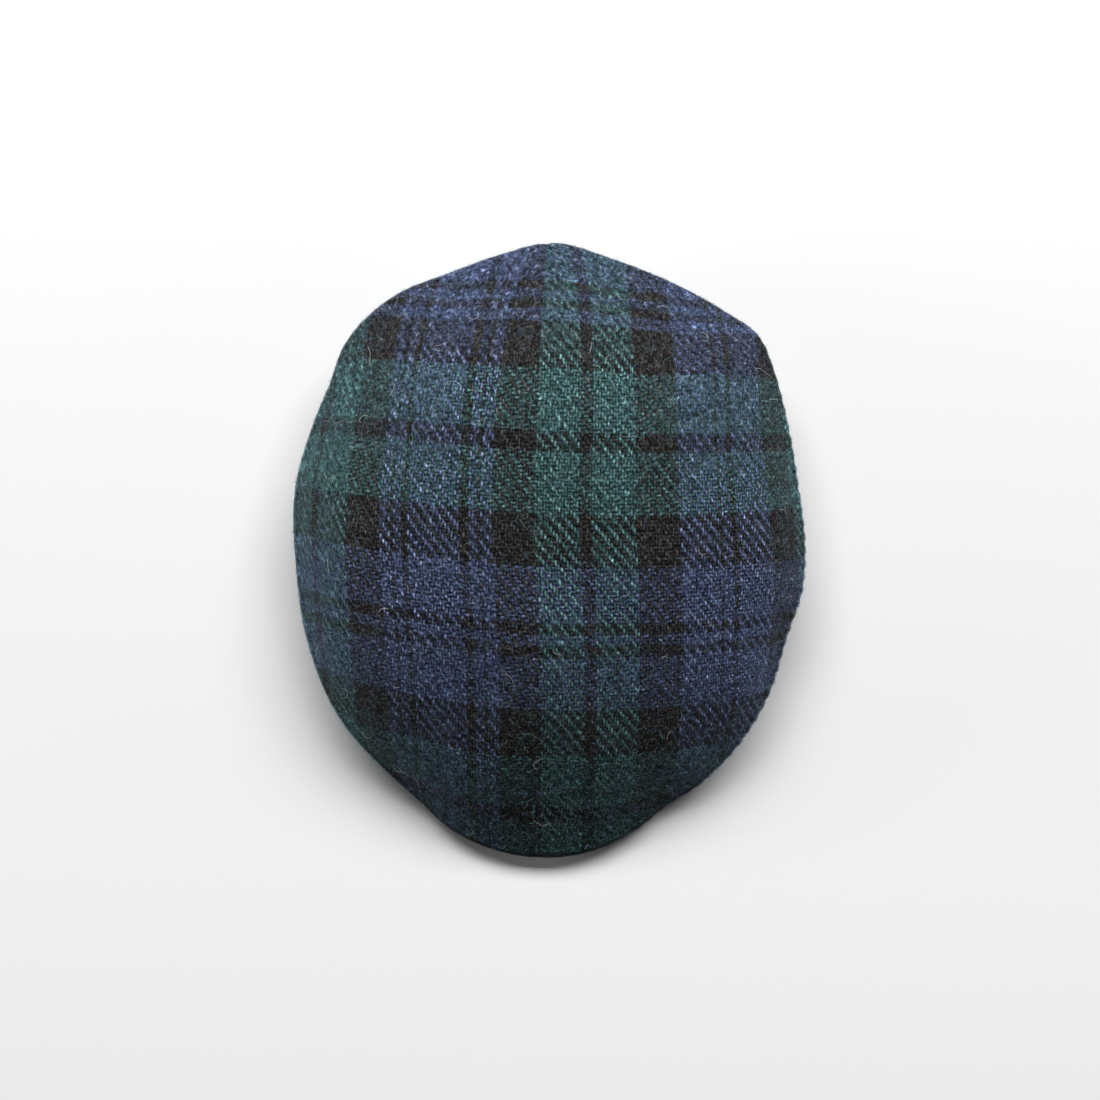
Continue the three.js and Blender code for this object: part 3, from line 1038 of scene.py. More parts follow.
def object_from(bm: bmesh.types.BMesh, name: str, material: bpy.types.Material) -> bpy.types.Object:
    """Turn a bmesh in millimetres into a shaded object in metres.

    Args:
        bm: The mesh, which is freed.
        name: Name of the piece.
        material: Its finish.

    Returns:
        The new object, linked to the scene.
    """
    bmesh.ops.scale(bm, vec=(MM, MM, MM), verts=bm.verts)
    mesh = bpy.data.meshes.new(name)
    bm.to_mesh(mesh)
    bm.free()
    mesh.materials.append(material)
    mesh.shade_smooth()
    return put_in_scene(name, mesh)


def places_of(verts: Iterable[bmesh.types.BMVert]) -> Array:
    """Places of vertices, one row each."""
    return np.array([vertex.co[:] for vertex in verts])


def new_grid(columns: int, rows: int, half: float = 1) -> tuple[bmesh.types.BMesh, Array, Array]:
    """Make a flat grid.

    Args:
        columns: Faces across.
        rows: Faces along.
        half: Half of its width and of its length.

    Returns:
        The mesh, and where each of its vertices is across and along.
    """
    bm = bmesh.new()
    bmesh.ops.create_grid(bm, x_segments=columns, y_segments=rows, size=half)
    across, along, _ = places_of(bm.verts).T
    return bm, across, along


def put(verts: Iterable[bmesh.types.BMVert], places: Array) -> None:
    """Move vertices to their places."""
    for vertex, place in zip(verts, places):
        vertex.co = place


def thicken(piece: bpy.types.Object, thickness: float) -> None:
    """Give a sheet its thickness, inwards from the face that is modelled.

    Args:
        piece: The sheet.
        thickness: How thick it gets, in millimetres.
    """
    solid = piece.modifiers.new("thickness", "SOLIDIFY")
    solid.thickness = thickness * MM
    solid.offset = -1
    solid.use_even_offset = True
    solid.use_quality_normals = True


def lay_threads(piece: bpy.types.Object, per_corner: Array) -> None:
    """Write the cloth UV map of a piece, one row of thread numbers for each face corner."""
    layer = piece.data.uv_layers.new(name=Layer.CLOTH)
    layer.data.foreach_set("uv", np.asarray(per_corner, np.float32).ravel())


def mark(piece: bpy.types.Object, layer: Layer, values: Array | float) -> None:
    """Write one number for each vertex of a piece, for its finish to read."""
    made = piece.data.attributes.new(layer, "FLOAT", "POINT")
    made.data.foreach_set("value", np.broadcast_to(values, len(made.data)).astype(np.float32))


def corner_facts(mesh: bpy.types.Mesh) -> tuple[Array, Array]:
    """Where the corners of a mesh's faces belong.

    Args:
        mesh: A mesh in metres.

    Returns:
        For each face corner its vertex, and the middle of its face in millimetres.
    """
    vertex = np.empty(len(mesh.loops), np.int32)
    mesh.loops.foreach_get("vertex_index", vertex)
    centre = np.empty(3 * len(mesh.polygons))
    mesh.polygons.foreach_get("center", centre)
    corners = np.empty(len(mesh.polygons), np.int32)
    mesh.polygons.foreach_get("loop_total", corners)
    return vertex, np.repeat(centre.reshape(-1, 3) / MM, corners, axis=0)


# -------------------- pieces
@dataclass(frozen=True)
class Waves:
    """Uneven waves: how many, how far and how often they sway, where the sway starts, their height."""

    count: float
    sway: float
    sways: float
    start: float
    height: float

    def at(self, angle: Array) -> Array:
        """Rise of the waves at angles."""
        sway = self.sway * np.sin(self.sways * angle + self.start)
        return self.height * np.sin(self.count * angle + sway)


class Lip(Enum):
    """Rows of cloth below the crown's roll: how far inside the outline, how far over the lip's bottom."""

    HANGING = (0.0, 0.9)
    UNDER = (0.8, 0.0)


@dataclass
class Crown:
    """One-piece top of the cap, darted at the centre back and turned down round its outline."""

    shape: CapShape
    lie: Lie
    cloth: CrownCloth
    finish: bpy.types.Material
    raising: Raising = Raising()
    across: int = 140
    along: int = 152
    crowding: float = 1.25
    # where the mesh's columns are drawn over to the dart's seam, and how much less at the edge
    gather_y: Limits = (20, 60)
    gather_width: float = 30
    gather_edge: Limits = (0.97, 1.0)
    gather_loss: float = 0.2
    thickness: float = 1.7
    leans: tuple[float, ...] = (12, 26, 42, 58, 74, 90)
    # how far from the dart's apex its seam starts
    seam_start: Limits = (38, 20)
    seam_width: float = 1.1
    seam_depth: float = 1.4
    seam_sharp: float = 1.5
    valley_width: float = 4.0
    valley_depth: float = 1.4
    pucker_depth: float = 0.35
    pucker_width: float = 9
    pucker_gap: float = 1.5
    # radians of the puckers' waves for a millimetre along the seam, for its side, for a millimetre out
    pucker_turns: tuple[float, ...] = (0.9, 0.8, 0.15)
    # the creases are fainter near the back edge
    faint_y: Limits = (126, 135)
    faint_share: float = 0.4
    seam_bite: float = 0.3
    welt_inside: float = 2.6
    welt_height: float = 0.8
    welt_width: float = 1.0
    welt_ramp: float = 10
    groove_inside: float = 2.4
    groove_width: float = 1.2
    ripples: tuple[Waves, ...] = (Waves(47, 2, 5, 0, 1.0), Waves(71, 1.3, 7, 1, 0.7))
    ripple_height: float = 0.16
    ripple_parts: Limits = (0.86, 0.99)
    # the outline is uneven with wool, most round one angle on the wearer's left
    fuzz: Waves = Waves(118, 0, 0, 0, 0.12)
    fuzz_angle: float = 1.9
    fuzz_spread: Limits = (0.2, 0.9)
    fuzz_shares: Limits = (0.4, 2.0)
    # distances to the front over which the cloth is painted darker, painted shade where the crown slopes away
    # from the light
    painted_shade_stretch: Limits = (60.0, 125.0)
    # painted shade: the turned-down edge at the front is painted darker by this share more
    edge_painted_shade: float = 0.7

    def plan(self, side: Array, up: Array) -> tuple[Array, Array]:
        """Bend a square grid from -1 to 1 into a round one.

        Args:
            side: Places across the square.
            up: Places along it.

        Returns:
            The turn and the part of the way to the rim for each place.
        """
        side = np.sign(side) * np.abs(side) ** self.crowding
        part = np.maximum(np.abs(side), np.abs(up))
        wide = np.abs(side) > np.abs(up)
        safe = np.where(part == 0, 1, part)
        quarter = np.where(wide, 90 - 45 * (up * np.sign(side)) / safe, 45 * side / safe)
        beside = np.where(side > 0, quarter, quarter + 180)
        along = np.where(up > 0, quarter, 180 - quarter)
        return np.mod(np.where(wide, beside, along), 360), part

    def creases(self, x: Array, y: Array) -> Array:
        """The dart's seam, the valley that it lies in and the puckers beside it.

        Args:
            x: Places across.
            y: Places along.

        Returns:
            How far the crown's face is drawn in at each place.
        """
        off = x - self.lie.seam_x(y)
        length = smooth(y, *(self.lie.dart_apex - start for start in self.seam_start))
        seam = self.seam_depth * bell(off, self.seam_width, self.seam_sharp)
        valley = self.valley_depth * bell(off, self.valley_width)
        near = bell(off, self.pucker_width) * (1 - bell(off, self.pucker_gap))
        along, side, out = self.pucker_turns
        pucker = self.pucker_depth * near * np.sin(y * along + np.sign(off) * side + out * off)
        return length * (seam + valley + pucker) * lerp(1, self.faint_share, smooth(y, *self.faint_y))

    def welt(self, turn: Array, part: Array) -> Array:
        """Ridge that the peak's edge presses into the cloth drawn over it, and the groove behind it.

        Args:
            turn: Turns of the places.
            part: Part of the way to the outline of each place.

        Returns:
            The rise at each place.
        """
        inside = (1 - part) * self.shape.reach(turn)
        ridge = bell(inside - self.welt_inside, self.welt_width)
        groove = bell(inside - self.welt_inside - self.groove_inside, self.groove_width)
        front = smooth(from_back(turn), self.shape.band_end, self.shape.band_end + self.welt_ramp)
        return self.welt_height * front * (ridge - groove)

    def ripple(self, turn: Array, part: Array) -> Array:
        """Small rises of the cloth where it is drawn in along the outline's seam."""
        waves = sum(ripple.at(np.radians(turn)) for ripple in self.ripples)
        return self.ripple_height * waves * smooth(part, *self.ripple_parts)

    def face_height(self, x: Array, y: Array) -> Array:
        """Height of the crown's outer face with its small folds, over places inside its outline."""
        turn, part = turn_of(x, y), self.shape.part_at(x, y)
        height = self.shape.crown_height(turn, np.minimum(part, 1)) - self.creases(x, y)
        return height + self.ripple(turn, part) + self.welt(turn, part)

    def build(self) -> bpy.types.Object:
        """Model the crown as one sheet with thickness.

        Returns:
            The crown piece.
        """
        shape = self.shape
        bm, across, along = new_grid(self.across, self.along)
        turn, part = self.plan(across, along)
        rim = 1 - shape.edge_roll / shape.reach(turn)
        x, y, _ = on_spoke(turn, part * rim * shape.reach(turn), np.zeros_like(turn)).T
        shift = self.lie.seam_x(y) * smooth(y, *self.gather_y) * bell(x, self.gather_width)
        x = x + shift * (1 - smooth(part, *self.gather_edge) * self.gather_loss)
        put(bm.verts, np.stack([x, y, self.face_height(x, y)], axis=-1))
        hang = bm.verts.layers.float.new("hang")
        edges = [edge for edge in bm.edges if edge.is_boundary]
        for row in (*self.leans, *Lip):
            made = bmesh.ops.extrude_edge_only(bm, edges=edges)["geom"]
            fresh = [item for item in made if isinstance(item, bmesh.types.BMVert)]
            edges = [item for item in made if isinstance(item, bmesh.types.BMEdge) and item.is_boundary]
            old = places_of(fresh)
            place = self.rim_place(turn_of(old[:, 0], old[:, 1]), row)
            for vertex, length in zip(fresh, np.linalg.norm(place - old, axis=1)):
                vertex[hang] += length
            put(fresh, place)
        bmesh.ops.recalc_face_normals(bm, faces=bm.faces)
        if sum(face.normal.z for face in bm.faces) < 0:
            bmesh.ops.reverse_faces(bm, faces=bm.faces)
        place = places_of(bm.verts)
        hung = np.array([vertex[hang] for vertex in bm.verts])
        crown = object_from(bm, "crown_cloth", self.finish)
        self.thread(crown, place, hung)
        raised, edge = self.raising.at(shape, place[:, 0], place[:, 1]), smooth(hung, 0, 1)
        mark(crown, Layer.NAP, np.maximum(raised, edge))
        # painted shade: darker towards the front, and more on the turned-down edge there
        worn = smooth(-place[:, 1], *self.painted_shade_stretch)
        mark(crown, Layer.WORN, worn + self.edge_painted_shade * edge * worn)
        thicken(crown, self.thickness)
        return crown

    def rim_place(self, turn: Array, row: Array | float | Lip) -> Array:
        """Places on the turned-down edge.

        Args:
            turn: Turns of the places.
            row: Lean of the roll, or the row of the part that hangs.

        Returns:
            The places, one row each.
        """
        shape = self.shape
        if isinstance(row, Lip):
            reach, height = shape.reach(turn) - row.value[0], shape.lip_bottom(turn) + row.value[1]
        else:
            reach, height = shape.roll(turn, row)
        x, y, _ = on_spoke(turn, reach, height).T
        notch = self.creases(x, y)
        angle = np.radians(turn)
        share = lerp(*self.fuzz_shares, smooth(np.cos(angle - self.fuzz_angle), *self.fuzz_spread))
        reach = reach - self.seam_bite * notch + self.fuzz.at(angle) * share
        return on_spoke(turn, reach, height - notch + self.ripple(turn, np.ones_like(turn)))

    def thread(self, crown: bpy.types.Object, place: Array, hung: Array) -> None:
        """Lay the cloth's threads over the crown; what hangs carries on outwards from the roll.

        Args:
            crown: The piece.
            place: Places of its vertices.
            hung: Length of cloth from the roll's start to each vertex, 0 on the dome.
        """
        turn = turn_of(place[:, 0], place[:, 1])
        reach = np.hypot(place[:, 0], place[:, 1])
        start = np.where(hung > 0, self.shape.reach(turn) - self.shape.edge_roll, reach)
        x, y, _ = on_spoke(turn, start, hung).T
        past = on_spoke(turn, hung, hung)[:, :2] / self.lie.pitch()
        sides = [self.cloth.threads(x, y, np.full(len(place), right)) + past for right in (False, True)]
        vertex, centre = corner_facts(crown.data)
        right = centre[:, 0] > self.lie.seam_x(centre[:, 1])
        lay_threads(crown, np.where(right[:, None], sides[1][vertex], sides[0][vertex]))


@dataclass
class SideBand:
    """Band between the crown's edge and the head opening, with its lower edge turned up inside."""

    shape: CapShape
    lie: Lie
    finish: bpy.types.Material
    name: str
    side: int
    along: int = 150
    face_rows: int = 16
    fold_rows: int = 6
    hem_rows: int = 5
    thickness: float = 1.5
    fold: float = 1.62
    hem: float = 9.0
    hem_on_peak: float = 1.5
    top_drop: float = 0.35
    foot_rise: float = 0.7
    start_gap: float = 0.03
    seam_depth: float = 0.9
    seam_turn: float = 1.2
    seam_up: Limits = (0.2, 0.6)
    drape: Waves = Waves(0.31, 1.2, 0.11, 0, 0.25)
    # how far up the face its slope at the foot is taken
    shin: float = 0.1
    most_skew: float = 1.6
    first_threads: tuple[float, float] = (31, 8)
    nap: float = 0.8

    def build(self) -> bpy.types.Object:
        """Model the band as one folded sheet with thickness.

        Returns:
            The band piece.
        """
        shape = self.shape
        rows = self.face_rows + self.fold_rows + self.hem_rows
        bm, across, along = new_grid(self.along, rows)
        first = np.degrees(self.start_gap / shape.reach(np.zeros(1))[0])
        spoke = first + (across + 1) / 2 * (shape.band_end - first)
        turn = self.side * spoke
        row = np.round((1 - along) / 2 * rows)
        up = np.clip(1 - row / self.face_rows, 0, 1)
        bend = np.clip((row - self.face_rows) / self.fold_rows, 0, 1) * np.pi
        rise = np.clip((row - self.face_rows - self.fold_rows) / self.hem_rows, 0, 1)
        hem = rise * lerp(self.hem_on_peak, self.hem, 1 - shape.on_peak(turn))
        reach, height = self.folded(turn, up, bend, hem)
        drape = self.drape.at(spoke) * np.sin(np.pi * up)
        drape = drape - self.seam_depth * bell(spoke - first, self.seam_turn) * smooth(up, *self.seam_up)
        put(bm.verts, on_spoke(turn, reach + drape, height))
        if self.side > 0:
            bmesh.ops.reverse_faces(bm, faces=bm.faces)
        band = object_from(bm, self.name, self.finish)
        self.thread(band, turn, up, hem + self.fold * bend)
        mark(band, Layer.NAP, self.nap)
        thicken(band, self.thickness)
        return band

    def folded(self, turn: Array, up: Array, bend: Array, hem: Array) -> tuple[Array, Array]:
        """The band's outer face, the fold at its foot and the hem inside.

        Args:
            turn: Turns of the places.
            up: 1 at the crown's lip, 0 at the foot and on what is turned up.
            bend: Angle of the fold, 0 on the outer face and pi on the hem.
            hem: How far up the hem each place is, 0 elsewhere.

        Returns:
            The reach and the height at each place.
        """
        shape, on_peak = self.shape, self.shape.on_peak(turn)
        tall = np.maximum(shape.band(turn, np.ones_like(up))[1], 1)
        face, inner = shape.band(turn, up), shape.band(turn, hem / tall)
        foot, shin = shape.band(turn, 0 * up), shape.band(turn, 0 * up + self.shin)
        # the fold is square to the slope of the face at its foot
        lean = np.arctan2(shin[1] - foot[1], shin[0] - foot[0])
        inwards = self.fold * (np.sin(lean) * (1 - np.cos(bend)) + np.cos(lean) * np.sin(bend))
        upwards = self.fold * (np.cos(lean) * (1 - np.cos(bend)) - np.sin(lean) * np.sin(bend))
        reach = np.where(hem > 0, inner[0], face[0]) - inwards * self.skew(turn)
        height = np.where(hem > 0, inner[1], face[1]) + upwards
        # the foot is lifted by what its thickness would sink, and both ends clear their neighbours
        height = height + self.fold * (1 - np.cos(lean)) * (1 - up) ** 6
        height = height - self.top_drop * (1 + on_peak) * up**4
        return reach, height + self.foot_rise * on_peak * (1 - up) ** 2

    def skew(self, turn: Array) -> Array:
        """How much longer a way inwards is on its spoke than square to the band's foot.

        Args:
            turn: Turns of the spokes.

        Returns:
            The ratio for each of them.
        """
        half = 0.5
        here = np.clip(np.abs(turn), half, self.shape.band_end - half) * self.side
        near, far = self.shape.foot(here - half)[0], self.shape.foot(here + half)[0]
        return np.minimum(np.hypot(1, (far - near) / np.radians(2 * half) / near), self.most_skew)

    def thread(self, band: bpy.types.Object, turn: Array, up: Array, past: Array) -> None:
        """Lay the cloth's threads along the band.

        Args:
            band: The piece.
            turn: Turns of its vertices.
            up: How far up its outer face they are, 0 to 1.
            past: Length of cloth from the foot on, 0 on the outer face.
        """
        samples = np.linspace(0, self.shape.band_end, 300)
        track = on_spoke(
            self.side * samples, *self.shape.band(self.side * samples, np.full_like(samples, 0.5))
        )
        run = np.concatenate([[0], np.cumsum(np.linalg.norm(np.diff(track, axis=0), axis=1))])
        along = self.side * np.interp(np.abs(turn), samples, run)
        foot, head = self.shape.foot(turn), self.shape.band(turn, np.ones_like(up))
        rise = up * np.hypot(head[0] - foot[0], head[1] - foot[1]) - past
        threads = np.stack([along, rise], axis=-1) / self.lie.pitch() + self.first_threads
        lay_threads(band, threads[corner_facts(band.data)[0]])


@dataclass
class Peak:
    """Stiff visor, a board with cloth drawn over both faces."""

    shape: CapShape
    lie: Lie
    finish: bpy.types.Material
    along: int = 170
    face_rows: int = 18
    edge_rows: int = 8
    edge: float = 1.9
    corner_gap: float = 0.4
    # share of the thickness at the corners, and the part of the length over which it comes back
    corner_thin: float = 0.25
    corner_part: float = 0.02
    floor_gap: float = 0.05
    under_threads: tuple[float, float] = (9, 40)
    nap: float = 0.7

    def build(self) -> bpy.types.Object:
        """Model the peak as one closed loft.

        Returns:
            The peak piece.
        """
        shape = self.shape
        # rows of the upper face, the outer edge, the lower face and the inner edge
        knots = np.cumsum([0, self.face_rows, self.edge_rows, self.face_rows, self.edge_rows])
        bm, across, along = new_grid(self.along, int(knots[-1]))
        spoke = (across + 1) / 2
        first = shape.peak_corner + self.corner_gap
        turn = lerp(first, 360 - first, spoke)
        row = np.round((along + 1) / 2 * knots[-1])
        from_corner = np.clip(np.minimum(spoke, 1 - spoke) / self.corner_part, 0, 1)
        edge = self.edge * lerp(self.corner_thin, 1.0, np.sqrt(from_corner))
        inner, outer = shape.opening_reach(turn) - shape.peak_tuck + edge, shape.peak_reach(turn) - edge
        reach = lerp(inner, outer, np.interp(row, knots, (0, 1, 1, 0, 0)))
        middle = shape.peak_top(turn, reach) - shape.peak_thickness / 2
        out_bend, in_bend = (np.interp(row, knots[k:k + 2], (0, np.pi)) for k in (1, 3))
        push = edge * np.sin(out_bend) - edge * np.sin(in_bend)
        swing = edge * np.where(row <= knots[2], np.cos(out_bend), -np.cos(in_bend))
        put(bm.verts, on_spoke(turn, reach + push, np.maximum(middle, self.edge + self.floor_gap) + swing))
        upper = places_of(bm.verts)[:, :2] / self.lie.pitch()
        under = upper * (-1, 1) + self.under_threads
        lower = row >= knots[1] + self.edge_rows / 2
        layer = bm.loops.layers.uv.new(Layer.CLOTH)
        for face in bm.faces:
            threads = under if all(lower[loop.vert.index] for loop in face.loops) else upper
            for loop in face.loops:
                loop[layer].uv = threads[loop.vert.index]
        bmesh.ops.remove_doubles(bm, verts=bm.verts, dist=0.0005)
        bmesh.ops.holes_fill(bm, edges=[edge for edge in bm.edges if edge.is_boundary], sides=0)
        bmesh.ops.recalc_face_normals(bm, faces=bm.faces)
        peak = object_from(bm, "peak_board", self.finish)
        mark(peak, Layer.NAP, self.nap)
        return peak


@dataclass(frozen=True)
class Hair:
    """One kind of loose fibre: how many, how they bend, and their looks. Lengths in millimetres."""

    count: int
    points: int
    # shape and scale of the gamma spread of the lengths beyond the least
    length: tuple[float, float]
    least: float
    curl: float
    tightest: float
    radius: Limits
    # share of pale undyed wool in the tone
    pale: float = 0.0


@dataclass
class Nap:
    """Loose curly fibres that stand and lie on the crown's wool."""

    crown: Crown
    cloth: TartanFinish
    finish: bpy.types.Material
    short: Hair = Hair(4600, 5, (2.5, 0.7), 0.8, 0.5, 0.8, (0.03, 0.06))
    long: Hair = Hair(45, 12, (3.0, 1.6), 2.0, 0.35, 1.5, (0.06, 0.1), 0.75)
    rim: Hair = Hair(5900, 4, (3.0, 0.16), 0.3, 0.35, 1.0, (0.04, 0.08))
    half_width: float = 114
    last_root: float = 0.985
    last_part: float = 0.995
    waver: float = 0.2
    # how high the lying fibres arch, and the angles of the arch at root and tip
    rises: Limits = (0.05, 0.65)
    arch: Limits = (0.15, 2.9)
    clear: float = 0.05
    # sine of the lean at which the standing fibres leave the roll
    rim_leans: Limits = (0.55, 1)
    rim_spread: float = 0.7
    # painted sheen: the fibres standing off the roll are painted lighter than their yarns, by this factor and
    # this added tone
    rim_painted_sheen: float = 1.6
    rim_sheen_tone: float = 0.1
    pale_tone: float = 0.6
    # middle and spread of the fibres' brightness over their yarns', as logarithms
    brightness: tuple[float, float] = (0.3, 0.35)
    darkest: float = 0.004
    palest: float = 0.6
    seam_x: float = -3
    # share of a fibre's radius at its root and at its tip
    ends: tuple[float, float] = (0.7, 0.35)
    seed: int = 7

    def roots(self, hair: Hair, stretch: Limits, rng: np.random.Generator) -> Array:
        """Scatter the fibres' roots over a stretch of the crown, thicker where the nap stands up.

        Args:
            hair: Kind of fibre.
            stretch: Its front and its back end.
            rng: Source of random numbers.

        Returns:
            Plan places, one row each.
        """
        shape, found = self.crown.shape, np.empty((0, 2))
        while len(found) < hair.count:
            tries = rng.uniform(*zip((-self.half_width, self.half_width), stretch), (hair.count, 2))
            tries = tries[shape.part_at(tries[:, 0], tries[:, 1]) < self.last_root]
            chance = rng.random(len(tries))
            kept = chance < self.crown.raising.at(shape, tries[:, 0], tries[:, 1])
            found = np.concatenate([found, tries[kept]])
        return found[:hair.count]

    def lying(self, name: str, hair: Hair, stretch: Limits) -> bpy.types.Object:
        """Model the fibres that lie on one stretch of the crown.

        Args:
            name: Name of the piece.
            hair: Kind of fibre.
            stretch: Its front and its back end.

        Returns:
            One mesh of thin closed tubes.
        """
        rng = np.random.default_rng([self.seed, hair.points, int(stretch[0]) + 1000])
        count = hair.count
        place = self.roots(hair, stretch, rng)
        length = rng.gamma(*hair.length, count) + hair.least
        heading = rng.uniform(0, 2 * np.pi, count)
        curl = np.clip(rng.normal(0, hair.curl, count), -hair.tightest, hair.tightest)
        step = length / (hair.points - 1)
        trail = [place]
        for _ in range(hair.points - 1):
            heading = heading + curl * step + rng.normal(0, self.waver, count)
            trail.append(trail[-1] + np.stack([np.cos(heading), np.sin(heading)], axis=-1) * step[:, None])
        plan = np.concatenate(np.stack(trail, axis=1))
        part = self.crown.shape.part_at(*plan.T)
        plan = plan * np.where(part > self.last_part, self.last_part / part, 1)[:, None]
        arch = np.sin(np.linspace(*self.arch, hair.points))
        rise = rng.uniform(*self.rises, count)[:, None] * arch
        height = self.crown.face_height(*plan.T).reshape(count, -1) + rise + self.clear
        tone = lerp(self.tones(place, rng), self.pale_tone, hair.pale)
        places = np.dstack([plan.reshape(count, -1, 2), height])
        return self.tubes(name, places, tone, rng.uniform(*hair.radius, count))

    def standing(self, name: str, last_turn: float) -> bpy.types.Object:
        """Model the fibres that stand off the crown's roll, round the back and sides.

        Args:
            name: Name of the piece.
            last_turn: How far round they go on either side of the centre back.

        Returns:
            One mesh of thin closed tubes.
        """
        hair, rng = self.rim, np.random.default_rng([self.seed, 1])
        count = hair.count
        turn = rng.uniform(-last_turn, last_turn, count)
        lean = np.degrees(np.arcsin(rng.uniform(*self.rim_leans, count)))
        place = self.crown.rim_place(turn, lean)
        out = on_spoke(turn, np.sin(np.radians(lean)), np.cos(np.radians(lean)))
        heading = out + rng.normal(0, self.rim_spread, place.shape)
        curl = rng.normal(0, hair.curl, place.shape)
        step = (rng.gamma(*hair.length, count) + hair.least) / (hair.points - 1)
        trail = [place - self.clear * out]
        for _ in range(hair.points - 1):
            heading = heading / np.linalg.norm(heading, axis=1)[:, None] + curl
            trail.append(trail[-1] + heading / np.linalg.norm(heading, axis=1)[:, None] * step[:, None])
        # painted sheen: lighter than the yarns that the fibres come from
        tone = self.rim_painted_sheen * self.tones(place[:, :2], rng) + self.rim_sheen_tone
        return self.tubes(name, np.stack(trail, axis=1), tone, rng.uniform(*hair.radius, count))

    def tones(self, place: Array, rng: np.random.Generator) -> Array:
        """Colours of fibres, from the yarns that they come out of.

        Args:
            place: Plan places of their roots, one row each.
            rng: Source of random numbers.

        Returns:
            One linear colour for each fibre.
        """
        end, pick = self.crown.cloth.threads(place[:, 0], place[:, 1], place[:, 0] > self.seam_x).T
        warp_up = np.mod(np.floor(end) + np.floor(pick), 4) < 2
        tone = np.where(warp_up[:, None], self.cloth.warp.wool_at(end), self.cloth.weft.wool_at(pick))
        bright = rng.lognormal(*self.brightness, len(place))[:, None]
        return np.minimum(tone * bright + self.darkest, self.palest)

    def tubes(self, name: str, places: Array, tone: Array, radius: Array) -> bpy.types.Object:
        """Make thin tubes along paths, each with its own tone.

        Args:
            name: Name of the piece.
            places: Fibres by points by three, in millimetres.
            tone: One linear colour for each fibre.
            radius: One radius for each fibre, in millimetres.

        Returns:
            The new mesh object.
        """
        curve = bpy.data.curves.new(name, "CURVE")
        curve.dimensions = "3D"
        curve.bevel_depth = MM
        curve.bevel_resolution = 0
        curve.use_fill_caps = True
        root, tip = self.ends
        taper = np.array([root, *[1.0] * (places.shape[1] - 2), tip])
        for path, size in zip(places, radius):
            spline = curve.splines.new("POLY")
            spline.points.add(len(path) - 1)
            four = np.concatenate([path * MM, np.ones((len(path), 1))], axis=1)
            spline.points.foreach_set("co", four.ravel().astype(np.float32))
            spline.points.foreach_set("radius", (size * taper).astype(np.float32))
        holder = put_in_scene(name, curve)
        mesh = bpy.data.meshes.new_from_object(holder)
        bpy.data.objects.remove(holder)
        bpy.data.curves.remove(curve)
        mesh.name = name
        mesh.materials.clear()
        mesh.materials.append(self.finish)
        mesh.shade_smooth()
        colours = np.ones((len(mesh.vertices), 4), np.float32)
        colours[:, :3] = np.repeat(tone, len(mesh.vertices) // len(places), axis=0)
        layer = mesh.color_attributes.new(Layer.TONE, "FLOAT_COLOR", "POINT")
        layer.data.foreach_set("color", colours.ravel())
        return put_in_scene(name, mesh)


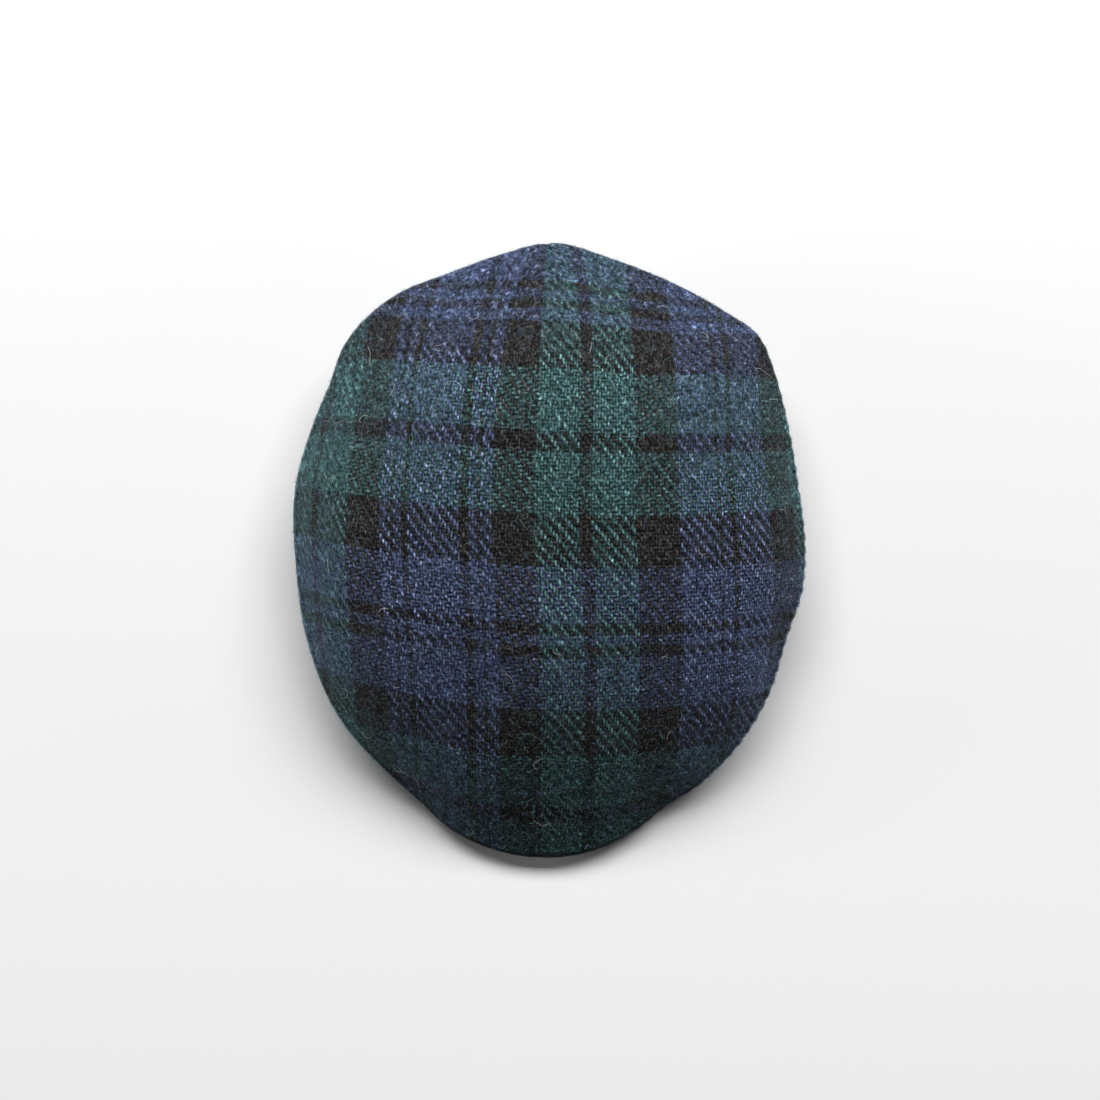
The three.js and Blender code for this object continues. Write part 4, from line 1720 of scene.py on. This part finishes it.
# -------------------- studio
@dataclass
class Studio:
    """Pale floor, soft lights and the camera, straight over the cap."""

    floor_size: float = 6.0
    floor_colour: tuple[float, ...] = (0.88, 0.88, 0.88, 1)
    floor_roughness: float = 0.8
    camera_place: Point = (0, 0.0016, 0.83)
    lens: float = 58.2
    sensor: float = 36
    sky: float = 0.02
    horizon: float = 0.8
    horizon_height: float = 0.35
    front_share: float = 0.55
    front_to_back: Limits = (-0.7, 0.5)
    aim: Point = (0, 0, 0.05)
    key_power: float = 168.0
    key_size: tuple[float, float] = (4.0, 1.0)
    key_place: Point = (0.2, 2.17, 2.46)
    side_powers: tuple[float, float] = (14.0, 29.0)
    side_size: tuple[float, float] = (1.2, 0.8)
    side_place: Point = (2.95, 0.0, 0.55)

    def build(self) -> None:
        """Place the floor, the lights and the camera."""
        scene = bpy.context.scene
        scene.view_settings.view_transform = "Standard"
        paint, board = new_material("pale_floor")
        board.close("BsdfPrincipled", {"Base Color": self.floor_colour, "Roughness": self.floor_roughness})
        object_from(new_grid(1, 1, self.floor_size / 2 / MM)[0], "floor", paint)
        scene.world = self.walls()
        x, y, z = self.side_place
        self.light("key", self.key_place, self.key_size, self.key_power)
        self.light("side_left", (x, y, z), self.side_size, self.side_powers[0])
        self.light("side_right", (-x, y, z), self.side_size, self.side_powers[1])
        lens = bpy.data.cameras.new("camera")
        lens.lens = self.lens
        lens.sensor_width = self.sensor
        scene.camera = put_in_scene("camera", lens)
        scene.camera.location = self.camera_place

    def walls(self) -> bpy.types.World:
        """Make pale walls all round, brightest low down and behind the cap.

        Returns:
            The world that glows like them.
        """
        world = bpy.data.worlds.new("pale_walls")
        world.use_nodes = True
        board = Board(world.node_tree)
        _, y, z = board.split("XYZ", board.add("TexCoord").outputs["Object"])
        low = board.span(z, (0.0, self.horizon_height), (1.0, 0.0))
        glow = board.product(low, board.span(y, self.front_to_back, (self.front_share, 1.0)))
        strength = board.calc("MULTIPLY_ADD", glow, self.horizon, self.sky)
        board.close("Background", {"Strength": strength}, "OutputWorld")
        return world

    def light(self, name: str, place: Point, size: tuple[float, float], power: float) -> None:
        """Add one oblong soft light that faces the cap.

        Args:
            name: Name of the light.
            place: Where it hangs.
            size: Its width and height.
            power: Its power in watts.
        """
        lamp = bpy.data.lights.new(name, "AREA")
        lamp.shape = "RECTANGLE"
        lamp.size, lamp.size_y = size
        lamp.energy = power
        holder = put_in_scene(name, lamp)
        away = np.array(place) - np.array(self.aim)
        tilt, heading = np.arccos(away[2] / np.linalg.norm(away)), np.arctan2(away[0], -away[1])
        holder.location = place
        holder.rotation_euler = (float(tilt), 0, float(heading))


# -------------------- assembly
def join_frame(piece: bpy.types.Object, node: str | None) -> None:
    """Put a piece on the cap's body.

    Args:
        piece: The piece.
        node: CAD node that it stands in for, or None.
    """
    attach(piece, "root")
    if node:
        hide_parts(node)
    LOG.info("%s: %d faces", piece.name, len(piece.data.polygons))


def main() -> None:
    """Build the cap and its studio."""
    logging.basicConfig(level=logging.INFO, format="%(message)s")
    shape, lie = CapShape(), Lie()
    finish = TartanFinish(lie)
    wool, fibre = finish.make(), FibreFinish().make()
    top = Crown(shape, lie, CrownCloth(shape, lie), wool)
    crown = top.build()
    join_frame(crown, "crown")
    for name, side in (("side_left", 1), ("side_right", -1)):
        band = SideBand(shape, lie, wool, f"{name}_cloth", side).build()
        join_frame(band, name)
    peak = Peak(shape, lie, wool).build()
    join_frame(peak, "peak")
    nap = Nap(top, finish, fibre)
    ends = {"nap_front": (-140, -60), "nap_middle": (-60, 0), "nap_top": (0, 60), "nap_back": (60, 140)}
    naps = [nap.lying(name, nap.short, stretch) for name, stretch in ends.items()]
    naps += [nap.lying("nap_long", nap.long, (-140, 140)), nap.standing("nap_rim", 147)]
    for fibres in naps:
        join_frame(fibres, None)
    Studio().build()


if __name__ == "__main__":
    main()
